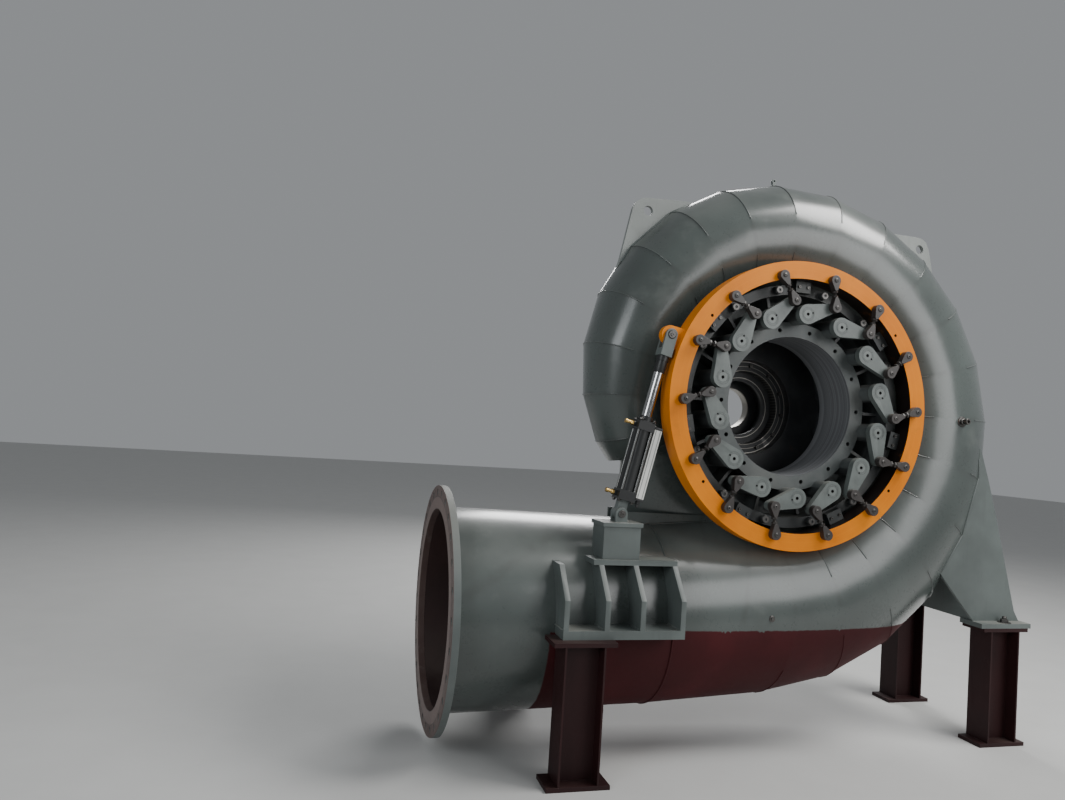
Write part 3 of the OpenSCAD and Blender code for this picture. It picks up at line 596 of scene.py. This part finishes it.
# Lengths in metres, angles in degrees, clockwise from the top
volute = {"endRadius": 0.49, "tail": -158, "sweep": 338, "neckRadius": 0.6173, "neckHalf": 0.105,
          "joints": (150, 60, -30), "pipeRoof": -0.658, "pipeHeart": -1.13, "tailUpTo": -104, "tailHeart": 0.74}
goreStep = 360 // turbine["goreCount"]


def sectionRadius(angle):
    return volute["endRadius"] * math.sqrt((angle - volute["tail"]) / volute["sweep"])


def heartRadius(angle):
    return volute["neckRadius"] + math.sqrt(sectionRadius(angle) ** 2 - volute["neckHalf"] ** 2)


def casingHeart(p):  # middle of the water way at a point of the casing
    angle = math.degrees(math.atan2(p.x, p.z))
    if p.x < 0 and p.z < volute["pipeRoof"]:
        return Vector((p.x, turbine["midY"], volute["pipeHeart"]))
    radius = volute["tailHeart"] if angle < volute["tailUpTo"] else heartRadius(angle)
    return polar(radius, angle, turbine["midY"])


def isInside(c, n):
    return n.dot(c - casingHeart(c)) < 0


def isSeam(edge, least):  # a crease between two gores, on the outside
    if len(edge.link_faces) != 2:
        return False
    fold = math.degrees(edge.calc_face_angle(0.0))
    middle = (edge.verts[0].co + edge.verts[1].co) / 2
    along = (edge.verts[0].co - edge.verts[1].co).normalized()
    around = Vector((middle.z, 0.0, -middle.x)).normalized()
    facing = edge.link_faces[0].normal + edge.link_faces[1].normal
    return least < fold < seams["most"] and not isInside(middle, facing) and abs(along.dot(around)) < 0.5


def wholeCasing():
    copy = joinAll([duplicate(nodes[name]) for name in casingNodes])
    startEdit(copy)
    bpy.ops.mesh.select_all(action="SELECT")
    bpy.ops.mesh.remove_doubles(threshold=0.00005)

    def between(c, n):  # the faces where two parts meet
        angle = math.degrees(math.atan2(c.x, c.z))
        around = Vector((c.z, 0.0, -c.x)).normalized()
        return abs(n.dot(around)) > 0.99 and min(abs(angle - a) for a in volute["joints"]) < 0.02

    chooseFaces(between)
    bpy.ops.mesh.delete(type="FACE")
    chooseEdges(lambda edge: isSeam(edge, seams["sharp"]))
    bpy.ops.mesh.mark_sharp()
    endEdit(35)
    seat(copy, "casing.finish", bodyOf[casingNodes[0]], casingGray)
    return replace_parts(copy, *casingNodes)


def primeInside(piece, inward):  # a second material on the faces that look inwards
    piece.data.materials.append(insidePrimer)
    startEdit(piece)
    chooseFaces(inward)
    piece.active_material_index = 1
    bpy.ops.object.material_slot_assign()
    bpy.ops.object.mode_set(mode="OBJECT")


def isInsidePipe(c, n):
    return n.dot(c - Vector((c.x, turbine["midY"], turbine["pipeZ"]))) < 0


seams = {"sharp": 2.5, "least": 5.0, "most": 40.0, "bead": 0.0032}  # folds in degrees, bead in metres
casing = wholeCasing()
primeInside(casing, isInside)
primeInside(finished["inlet_pipe"], isInsidePipe)

# Weld beads on the casing

pipePlan = {"endRadius": 0.484, "taper": 0.02235, "bite": 0.004, "bead": 0.0055}
weldPlan = {"flangeX": 0.0365, "flangeRadius": 0.5085, "flangeBead": 0.009, "throatY": 0.0365,
            "throatRadius": 0.395, "throatBead": 0.005, "plates": 0.006, "brackets": 0.0045,
            "liftAside": 0.0145, "legApart": 0.01, "noseAside": 0.128}


def weldAlong(name, source, test, radius):
    bead = duplicate(source)
    startEdit(bead)
    chooseEdges(lambda edge: not test(edge))
    bpy.ops.mesh.delete(type="EDGE")
    bpy.ops.object.mode_set(mode="OBJECT")
    bpy.ops.object.convert(target="CURVE")
    bpy.context.object.data.bevel_depth = radius
    bpy.context.object.data.bevel_resolution = 2
    bpy.context.object.data.use_fill_caps = True
    bpy.ops.object.convert(target="MESH")
    startEdit(bpy.context.object)
    bpy.ops.mesh.select_all(action="SELECT")
    bpy.ops.mesh.normals_make_consistent(inside=False)
    return seat(endEdit(60), name, "turbine", casingGray)


def weldRing(name, place, axis, radius, bead, material=None):
    deselectAll()
    turn = Vector(axis).to_track_quat("Z", "Y").to_euler()
    bpy.ops.mesh.primitive_torus_add(location=place, rotation=turn, major_radius=radius, minor_radius=bead,
                                     major_segments=120, minor_segments=8)
    startEdit(settle(bpy.context.object))
    bpy.ops.mesh.select_all(action="SELECT")
    bpy.ops.transform.vertex_random(offset=bead * 0.18, seed=3)  # the bead isn't even
    return seat(endEdit(60), name, "turbine", material or casingGray)


weldAlong("gore_welds", casing, lambda edge: isSeam(edge, seams["least"]), seams["bead"])
weldRing("flange_weld", (turbine["inletX"] + weldPlan["flangeX"], turbine["midY"], turbine["pipeZ"]), (1, 0, 0),
         weldPlan["flangeRadius"], weldPlan["flangeBead"])
weldRing("pipe_weld", (turbine["jointX"], turbine["midY"], turbine["pipeZ"]), (1, 0, 0), pipePlan["endRadius"],
         pipePlan["bead"])
weldRing("throat_weld", (0, weldPlan["throatY"], 0), (0, 1, 0), weldPlan["throatRadius"],
         weldPlan["throatBead"], coverDark)


def fillet(a, b, radius):  # a straight weld run between two points
    a, b = Vector(a), Vector(b)
    length = (b - a).length
    steps = [(radius, radius), (radius, length - 2 * radius), (radius * 0.6, radius)]
    run = turned(radius * 0.6, steps, a, b - a, 10)
    startEdit(run)
    bpy.ops.mesh.select_all(action="SELECT")
    bpy.ops.transform.vertex_random(offset=radius * 0.08, seed=5)
    return endEdit(60)


def filletsAlong(name, lines, radius, material=None):
    runs = [fillet(a, b, radius) for line in lines for a, b in zip(line, line[1:])]
    return seat(joinAll(runs), name, "turbine", material or plateGray)


def gorePoint(angle, aside):  # outer face of the casing, aside from its middle plane
    low = goreStep * math.floor(angle / goreStep)
    ends = []
    for station in (low, low + goreStep):
        radius = sectionRadius(station)
        ends.append(polar(heartRadius(station) + math.sqrt(radius * radius - aside * aside), station,
                          turbine["midY"] + aside))
    return ends[0].lerp(ends[1], (angle - low) / goreStep)


# Where the runs go: angles at the lifting plates and legs, x and z at the nose plates
runPlan = {"lift": ((-50, -45, -30, -25), (34, 45, 54)), "leg": (100, 105, 120, 130),
           "nose": ((-0.07, -0.626), (-0.335, -0.647), (-0.67, -0.673), (-0.81, -0.67))}
liftRuns = [[gorePoint(a, s * weldPlan["liftAside"]) for a in angles] for s in (-1, 1)
            for angles in runPlan["lift"]]
legRuns = [[gorePoint(a, s * turbine["legAside"] + d) for a in runPlan["leg"]] for s in (-1, 1)
           for d in (-weldPlan["legApart"], weldPlan["legApart"])]
noseRuns = [[(x, turbine["midY"] + s * weldPlan["noseAside"], z) for x, z in runPlan["nose"]]
            for s in (-1, 1)]
filletsAlong("lifting_plate_welds", liftRuns, weldPlan["plates"])
filletsAlong("leg_welds", legRuns, weldPlan["plates"])
filletsAlong("nose_welds", noseRuns, weldPlan["plates"], casingGray)

bracketPlan = {"left": -1.275, "gussets": (0.0, 0.197, 0.372, 0.575), "t": 0.025, "front": -0.27,
               "foot": -1.109, "top": -0.832, "topFront": -0.15}


def pipeSkin(x, z):  # the pipe's near face, which the welds just enter
    radius = pipePlan["endRadius"] + pipePlan["taper"] * (turbine["jointX"] - x)
    return turbine["midY"] - math.sqrt(radius ** 2 - (z - turbine["pipeZ"]) ** 2) + pipePlan["bite"]


def bracketRuns():
    plan = bracketPlan
    lines = []
    for near in (True, False):
        def at(x, y, z):
            return Vector((x, y if near else 2 * turbine["midY"] - y, z))
        for i, offset in enumerate(plan["gussets"]):
            for side in (0.0, plan["t"]):
                x = plan["left"] + offset + side
                lines.append([at(x, plan["front"] + 0.014, plan["foot"]),
                              at(x, pipeSkin(x, plan["foot"]), plan["foot"])])
                if i:
                    lines.append([at(x, plan["topFront"] + 0.012, plan["top"]),
                                  at(x, pipeSkin(x, plan["top"]), plan["top"])])
    return lines


filletsAlong("bracket_welds", bracketRuns(), weldPlan["brackets"])
print("welds ready")

# Bolts, nuts and screws

boltLook = {"screwHead": 0.0085, "stubCap": 0.0195, "rearAcross": 0.03, "footAcross": 0.036, "rearCap": 0.038}
boltRings = {
    "stub": {"circle": 0.614, "y": -0.0478},
    "hub": {"count": 12, "circle": 0.247, "first": 7.0, "y": 0.476},
    "guide": {"count": 7, "circle": 0.627, "aside": 2.4, "y": -0.056},
    "rear": {"count": 28, "circle": 0.585, "first": 6.4, "y": 0.505, "capY": 0.534},
    "foot": {"x": 1.4, "z": -1.124, "apart": 0.044},
}


def socketScrew(radius, height, recess):  # faces -Y from its seat at the origin
    head = turned(radius, [(radius, height * 0.86), (radius * 0.9, height * 0.14)])
    return carve(head, turned(recess, [(recess, height)], (0, -height * 0.45, 0), front, 6))


def hexBolt(across, height, shank=0.0):
    corner = across / math.sqrt(3)
    parts = [turned(corner, [(corner, height * 0.85), (corner * 0.88, height * 0.15)], sides=6),
             turned(across * 0.98, [(across * 0.98, height * 0.1), (across * 0.92, height * 0.06)], sides=32)]
    if shank:
        thread = [(across * 0.33, height + shank - 0.002), (across * 0.28, 0.002)]
        parts.append(turned(across * 0.33, thread, sides=24))
    return joinAll(parts)


def frontPlaces(count, radius, angle, y):
    angles = [angle + k * 360 / count for k in range(count)]
    return [Matrix.Translation(polar(radius, a, y)) @ Matrix.Rotation(math.radians(a), 4, "Y") for a in angles]


stubCap = turned(boltLook["stubCap"], [(boltLook["stubCap"], 0.003), (boltLook["stubCap"] * 0.9, 0.0015)])
stubCap = carve(stubCap, turned(0.0085, [(0.0085, 0.01)], (0, 0.002, 0), front, 6))
ring = boltRings["stub"]
stubPlaces = frontPlaces(turbine["gateCount"], ring["circle"], turbine["gateAngle"] + gateStep / 2, ring["y"])
seat(copies(stubCap, stubPlaces), "cover_bolt_caps", "turbine", screwSteel)
hubScrew = socketScrew(0.011, 0.012, 0.0055)
ring = boltRings["hub"]
hubPlaces = frontPlaces(ring["count"], ring["circle"], ring["first"], ring["y"])
seat(copies(hubScrew, hubPlaces), "labyrinth_screws", "turbine", screwSteel)
guideScrew = socketScrew(0.008, 0.008, 0.004)
ring = boltRings["guide"]
guideAngles = [turbine["gateAngle"] + (2 * k + 1) * gateStep + s
               for k in range(ring["count"]) for s in (-ring["aside"], ring["aside"])]
guidePlaces = [Matrix.Translation(polar(ring["circle"], a, ring["y"])) for a in guideAngles]
seat(copies(guideScrew, guidePlaces), "guide_screws", "turbine", screwSteel)
rearBolt = hexBolt(boltLook["rearAcross"], 0.019)
ring = boltRings["rear"]
rearPlaces = [aim(polar(ring["circle"], ring["first"] + k * 360 / ring["count"], ring["y"]), (0, 1, 0),
                  math.radians(k * 37)) for k in range(ring["count"])]
seat(copies(rearBolt, rearPlaces), "rear_cover_bolts", "turbine", screwSteel)
rearCap = turned(boltLook["rearCap"], [(boltLook["rearCap"], 0.006), (0.035, 0.002)])
capPlaces = [aim(polar(turbine["gateRadius"], turbine["gateAngle"] + k * gateStep, ring["capY"]), (0, 1, 0))
             for k in range(turbine["gateCount"])]
seat(copies(rearCap, capPlaces), "rear_bearing_caps", "turbine", plateGray)
footBolt = hexBolt(boltLook["footAcross"], 0.02, 0.014)
foot = boltRings["foot"]
footPlaces = [aim((foot["x"], turbine["midY"] + s * turbine["legAside"] + d, foot["z"]), (0, 0, 1), 0.4 + d)
              for s in (-1, 1) for d in (-foot["apart"], foot["apart"])]
seat(copies(footBolt, footPlaces), "foot_bolts", "turbine", screwSteel)
discard(stubCap, hubScrew, guideScrew, rearBolt, rearCap, footBolt)

# Links: two drop-shaped heads on a threaded bar, and their pins

linkLook = {"headRadius": 0.027, "headShift": 0.029, "neckShare": 0.56, "depth": 0.034, "face": -0.149,
            "barRadius": 0.0086, "barBite": 0.004, "threadDepth": 0.0011, "threadPitch": 0.002,
            "nutRadius": 0.0155, "nutHeight": 0.008, "nutBite": 0.0005, "pinRadius": 0.01, "pinBite": 0.001,
            "ringPin": 0.041, "leverPin": 0.036}


def linkHead():  # its pin at the origin, its neck towards +Z
    look = linkLook
    deselectAll()
    bpy.ops.mesh.primitive_circle_add(vertices=48, radius=look["headRadius"], fill_type="NGON",
                                      rotation=(math.radians(90), 0, 0))
    startEdit(settle(bpy.context.object))
    chooseVerts(lambda c: c.z > 0.3 * look["headRadius"])
    bpy.ops.transform.resize(value=(look["neckShare"], 1, 1), center_override=(0, 0, 0))
    bpy.ops.transform.translate(value=(0, 0, look["headShift"]))
    bpy.ops.mesh.select_all(action="SELECT")
    bpy.ops.mesh.extrude_region_move(TRANSFORM_OT_translate={"value": (0, look["depth"], 0)})
    bpy.ops.mesh.select_all(action="SELECT")
    bpy.ops.mesh.normals_make_consistent(inside=False)
    head = softenEdges(endEdit(), 0.0015, 40)
    seatRing = turned(0.0125, [(0.0125, 0.0012), (0.0115, 0.0006)])
    return joinAll([head, seatRing])


def linkParts(length):
    look = linkLook
    upward = (0, 0, 1)
    headEnd = look["headRadius"] + look["headShift"]
    middle = look["depth"] / 2
    threads = int((length - 2 * headEnd + 2 * look["barBite"]) / look["threadPitch"])
    steps = [(look["barRadius"] - look["threadDepth"] * (k % 2), look["threadPitch"] / 2)
             for k in range(2 * threads)]
    near = linkHead()
    far = linkHead()
    far.matrix_world = Matrix.Translation((0, 0, length)) @ Matrix.Rotation(math.pi, 4, "Y")
    nut = [(look["nutRadius"], look["nutHeight"])]
    pinStart = look["depth"] - look["pinBite"]
    return [near, far, turned(look["barRadius"], steps, (0, middle, headEnd - look["barBite"]), upward, 20),
            turned(look["nutRadius"], nut, (0, middle, headEnd - look["nutBite"]), upward, 6),
            turned(look["nutRadius"], nut, (0, middle, length - headEnd + look["nutBite"]), (0, 0, -1), 6),
            turned(look["pinRadius"], [(look["pinRadius"], look["ringPin"])], (0, pinStart, 0), (0, 1, 0)),
            turned(look["pinRadius"], [(look["pinRadius"], look["leverPin"])], (0, pinStart, length),
                   (0, 1, 0))]


def linkEnds(k):
    gate = turbine["gateAngle"] + k * gateStep
    p = polar(turbine["ringPinRadius"], turbine["ringPinAngle"] + k * gateStep, linkLook["face"])
    lever = polar(turbine["leverLength"], gate + turbine["leverAngle"])
    return p, polar(turbine["gateRadius"], gate, linkLook["face"]) + lever


firstPin, secondPin = linkEnds(0)
linkModel = joinAll(linkParts((secondPin - firstPin).length))
linkScrew = socketScrew(boltLook["screwHead"], 0.004, 0.0042)
for k in range(turbine["gateCount"]):
    name = "link_" + str(k + 1)
    p, q = linkEnds(k)
    way = Matrix.Rotation(math.atan2(q.x - p.x, q.z - p.z), 4, "Y")
    piece = copies(linkModel, [Matrix.Translation(p) @ way])
    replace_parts(seat(piece, name + ".finish", bodyOf[name], linkDark), name)
    turn = Matrix.Rotation(math.radians(k * 77), 4, "Y")
    seat(copies(linkScrew, [Matrix.Translation(c) @ turn for c in (p, q)]), "link_screws_" + str(k + 1),
         bodyOf[name], screwSteel)
discard(linkModel, linkScrew)
print("bolts ready")

# Servomotor fittings

servo = {
    "base": Vector((-0.958, -0.06, -0.592)),
    "pin": Vector((-0.74598, -0.06, 0.30202)),
    "barrelFrom": 0.068,
    "barrelTo": 0.468,
    "block": 0.086,
    "tieAt": 0.034,
    "tieRadius": 0.006,
    "tieInset": 0.04,
    "nodeRod": 0.019,
    "nodeBore": 0.0192,
    "rodRadius": 0.026,
    "play": 0.0002,
    "forkRoot": 0.8068,
    "forkFace": -0.0345,
    "baseFace": -0.0415,
    "ringFace": -0.0338,
    "collarFrom": 0.7195,
    "portInset": 0.024,
    "portReach": 0.0135,
}
servoAxis = (servo["pin"] - servo["base"]).normalized()
servoTurn = Matrix.Rotation(math.atan2(servoAxis.x, servoAxis.z), 4, "Y")
servoSide = servoTurn @ Vector((-1, 0, 0))


def servoPoint(x, y, z):  # z along the rod, from the base pin
    return servo["base"] + servoTurn @ Vector((x, y, z))


def alongServo(c):  # height along the rod and distance from its axis
    height = (c - servo["base"]).dot(servoAxis)
    return height, (c - servo["base"] - servoAxis * height).length


def widen(piece, radius, share):  # the round faces at a radius about the rod's axis
    startEdit(piece)
    limit = servo["forkRoot"] + 0.01
    chooseVerts(lambda c: abs(alongServo(c)[1] - radius) < 0.0008 and alongServo(c)[0] < limit)
    bpy.ops.transform.resize(value=(share, share, 1), orient_type="GLOBAL", orient_matrix=servoTurn.to_3x3(),
                             orient_matrix_type="GLOBAL", center_override=tuple(servo["base"]))
    bpy.ops.object.mode_set(mode="OBJECT")


def repaint(piece, material, test):  # one more material, on the faces that a test picks
    piece.data.materials.append(material)
    startEdit(piece)
    chooseFaces(test)
    piece.active_material_index = len(piece.data.materials) - 1
    bpy.ops.object.material_slot_assign()
    bpy.ops.object.mode_set(mode="OBJECT")


repaint(finished["servo_rod"], plateGray, lambda c, n: alongServo(c)[0] > servo["forkRoot"] - 0.001)
repaint(finished["servo_barrel"], plateGray, lambda c, n: alongServo(c)[0] < servo["barrelFrom"] - 0.001)


def onTieRod(c, n):  # the round faces of the four bars between the barrel's end blocks
    height = alongServo(c)[0]
    local = servoTurn.inverted() @ (c - servo["base"])
    away = math.hypot(abs(local.x) - servo["tieAt"], abs(local.y) - servo["tieAt"])
    between = servo["barrelFrom"] + servo["tieInset"] < height < servo["barrelTo"] - servo["tieInset"]
    return between and abs(away - servo["tieRadius"]) < 0.0012 and abs(n.dot(servoAxis)) < 0.1


repaint(finished["servo_barrel"], brightSteel, onTieRod)
widen(finished["servo_rod"], servo["nodeRod"], servo["rodRadius"] / servo["nodeRod"])
widen(finished["servo_barrel"], servo["nodeBore"], (servo["rodRadius"] + servo["play"]) / servo["nodeBore"])

tieNut = hexBolt(0.018, 0.009, 0.004)
nutPlaces = []
for x in (-servo["tieAt"], servo["tieAt"]):
    for y in (-servo["tieAt"], servo["tieAt"]):
        nutPlaces.append(aim(servoPoint(x, y, servo["barrelTo"]), servoAxis, x * 9))
        nutPlaces.append(aim(servoPoint(x, y, servo["barrelFrom"]), -servoAxis, y * 7))
seat(copies(tieNut, nutPlaces), "tie_rod_nuts", "barrel", screwSteel)
discard(tieNut)


def hoseFitting(height):
    start = servoPoint(-servo["block"] / 2 - servo["portReach"], 0, height)
    nut = turned(0.0135, [(0.0135, 0.012), (0.0115, 0.002)], start, servoSide, 6)
    neck = turned(0.009, [(0.009, 0.03), (0.011, 0.001), (0.011, 0.012), (0.0088, 0.002)], start, servoSide, 28)
    return [nut, neck]


fittings = hoseFitting(servo["barrelFrom"] + servo["portInset"])
fittings += hoseFitting(servo["barrelTo"] - servo["portInset"])
seat(joinAll(fittings), "hose_fittings", "barrel", brassGold)
gland = turned(0.035, [(0.035, 0.024), (0.032, 0.002), (0.0265, 0.0), (0.0265, -0.02)],
               servoPoint(0, 0, servo["barrelTo"] - 0.001), servoAxis)
seat(gland, "rod_gland", "barrel", barrelBlack)

sensor = {"x": 0.069, "y": -0.02, "from": 0.082, "length": 0.372, "w": 0.04, "d": 0.028, "cap": 0.014,
          "grooveAside": 0.011, "groove": (0.004, 0.0006)}


def sensorParts():
    ends, grooves = [], []
    for z in (sensor["from"] + 0.006, sensor["from"] + sensor["length"] - 0.006):
        size = (sensor["w"] + 0.002, sensor["d"] + 0.002, sensor["cap"])
        cap = block(size, servoPoint(sensor["x"], sensor["y"], z), servoTurn)
        ends.append(softenEdges(cap, 0.0015))
    # the grooves are thin darker strips on the profile's faces: painted shade of its slots
    for x in (-sensor["grooveAside"], sensor["grooveAside"]):
        for side in (-1, 1):
            place = servoPoint(sensor["x"] + x, sensor["y"] + side * (sensor["d"] / 2 + 0.0001),
                               sensor["from"] + sensor["length"] / 2)
            grooves.append(block((*sensor["groove"], sensor["length"] - 0.03), place, servoTurn))
    start = servoPoint(sensor["x"], sensor["y"], sensor["from"] - 0.001)
    plug = [(0.0105, 0.014), (0.008, 0.003), (0.008, 0.012), (0.005, 0.002)]
    ends.append(turned(0.0105, plug, start, -servoAxis, 28))
    return ends, grooves


capParts, grooveParts = sensorParts()
seat(joinAll(capParts), "sensor_caps", "barrel", blackPlastic)
# the groove strips take the lighter plate paint, which is still darker than the white profile: painted shade
seat(joinAll(grooveParts), "sensor_grooves", "barrel", litPlateGray)

pinHead = joinAll([turned(0.0185, [(0.0185, 0.003), (0.0175, 0.001)]), socketScrew(0.009, 0.008, 0.0045)])
forkHead = copies(pinHead, [Matrix.Translation(servo["pin"] + Vector((0, servo["forkFace"], 0)))])
seat(forkHead, "fork_pin_screw", "rod", screwSteel)
baseHead = copies(pinHead, [Matrix.Translation(servo["base"] + Vector((0, servo["baseFace"], 0)))])
seat(baseHead, "base_pin_screw", "turbine", screwSteel)
discard(pinHead)
pinRing = turned(0.0225, [(0.0225, 0.0022), (0.0215, 0.0006)], servo["pin"] + Vector((0, servo["ringFace"], 0)))
seat(pinRing, "fork_pin_ring", "rod", barrelBlack)
collar = turned(0.0275, [(0.0285, 0.002), (0.0285, 0.06), (0.031, 0.0), (0.031, 0.024), (0.0295, 0.002)],
                servoPoint(0, 0, servo["collarFrom"]), servoAxis)
seat(collar, "rod_collar", "rod", barrelBlack)
print("servomotor fittings ready")

# Pressure tapping and drain plug on the casing

tap = {"place": Vector((1.043, -0.0665, -0.0158)), "facing": (0.046, -0.998, 0.043)}
plug = {"place": Vector((-0.1332, -0.1362, -1.0856)), "facing": (-0.007, -1.0, -0.027)}
tapParts = [
    turned(0.03, [(0.028, 0.006), (0.018, 0.002)], tap["place"], tap["facing"]),
    turned(0.019, [(0.019, 0.016), (0.016, 0.003)], tap["place"], tap["facing"], 6),
    turned(0.012, [(0.012, 0.03), (0.0165, 0.0), (0.0165, 0.014), (0.0145, 0.002), (0.008, 0.0),
                   (0.008, -0.01)], tap["place"], tap["facing"], 28),
]
seat(joinAll(tapParts), "pressure_tap", "turbine", screwSteel)
plugParts = [
    turned(0.017, [(0.016, 0.003), (0.014, 0.001)], plug["place"], plug["facing"]),
    turned(0.009, [(0.009, 0.008), (0.007, 0.002)], plug["place"], plug["facing"], 6),
]
seat(joinAll(plugParts), "drain_plug", "turbine", screwSteel)
print("casing fittings ready")

# Camera: the photograph's own viewpoint, heading clockwise from +Y

cameraSet = {
    "place": (-2.4132, -3.6976, -0.2312),
    "heading": 15.1096,
    "pitch": 2.4046,
    "roll": 3.6603,
    "lens": 26.82,
}


def placeCamera():
    deselectAll()
    bpy.ops.object.camera_add()
    camera = bpy.context.object
    heading, pitch, roll = (math.radians(cameraSet[k]) for k in ("heading", "pitch", "roll"))
    ahead = Vector((math.sin(heading) * math.cos(pitch), math.cos(heading) * math.cos(pitch), math.sin(pitch)))
    level = Vector((math.cos(heading), -math.sin(heading), 0.0))
    upright = level.cross(ahead)
    right = math.cos(roll) * level + math.sin(roll) * upright
    top = math.cos(roll) * upright - math.sin(roll) * level
    turn = Matrix((right, top, -ahead)).transposed().to_4x4()
    camera.matrix_world = Matrix.Translation(cameraSet["place"]) @ turn
    camera.data.lens = cameraSet["lens"]
    camera.data.sensor_width = 36.0
    camera.data.clip_end = 100.0
    bpy.context.scene.camera = camera


def makeStage():
    deselectAll()
    bpy.ops.mesh.primitive_plane_add(size=60.0, location=(0.0, 0.0, turbine["floorZ"] - 0.0005))
    floor = bpy.context.object
    floor.name = "stageFloor"
    sheet = Sheet("stageFloor")
    grain = sheet.noise(3.0, 5.0, 0.6)
    floor.data.materials.append(sheet.finish(sheet.blend(grain, (0.48, 0.48, 0.47), (0.54, 0.54, 0.53)), 0.7))
    world = bpy.context.scene.world or bpy.data.worlds.new("studio")
    bpy.context.scene.world = world
    world.use_nodes = True
    world.node_tree.nodes["Background"].inputs["Color"].default_value = (0.8, 0.83, 0.86, 1.0)
    world.node_tree.nodes["Background"].inputs["Strength"].default_value = 0.34


def addLight(name, place, target, size, power, color=(1.0, 1.0, 1.0)):
    deselectAll()
    bpy.ops.object.light_add(type="AREA", location=place)
    light = bpy.context.object
    light.name = name
    light.data.size = size
    light.data.energy = power
    light.data.color = color
    light.rotation_euler = (Vector(target) - Vector(place)).to_track_quat("-Z", "Y").to_euler()


placeCamera()
makeStage()
addLight("doorLight", (-6.2, -4.0, 1.6), (-0.3, 0.0, -0.6), 2.6, 135, (0.93, 0.97, 1.0))
addLight("windowLight", (2.9, -1.6, 4.4), (0.3, 0.2, 0.4), 2.6, 360, (1.0, 0.99, 0.97))
addLight("frontLight", (3.3, -5.6, 2.0), (0.3, 0.0, -0.6), 3.6, 185)
addLight("rearLight", (1.5, 6.5, 3.6), (0.0, 0.5, -0.3), 3.0, 330)
print("camera, floor and lights ready")

bpy.context.view_layer.update()
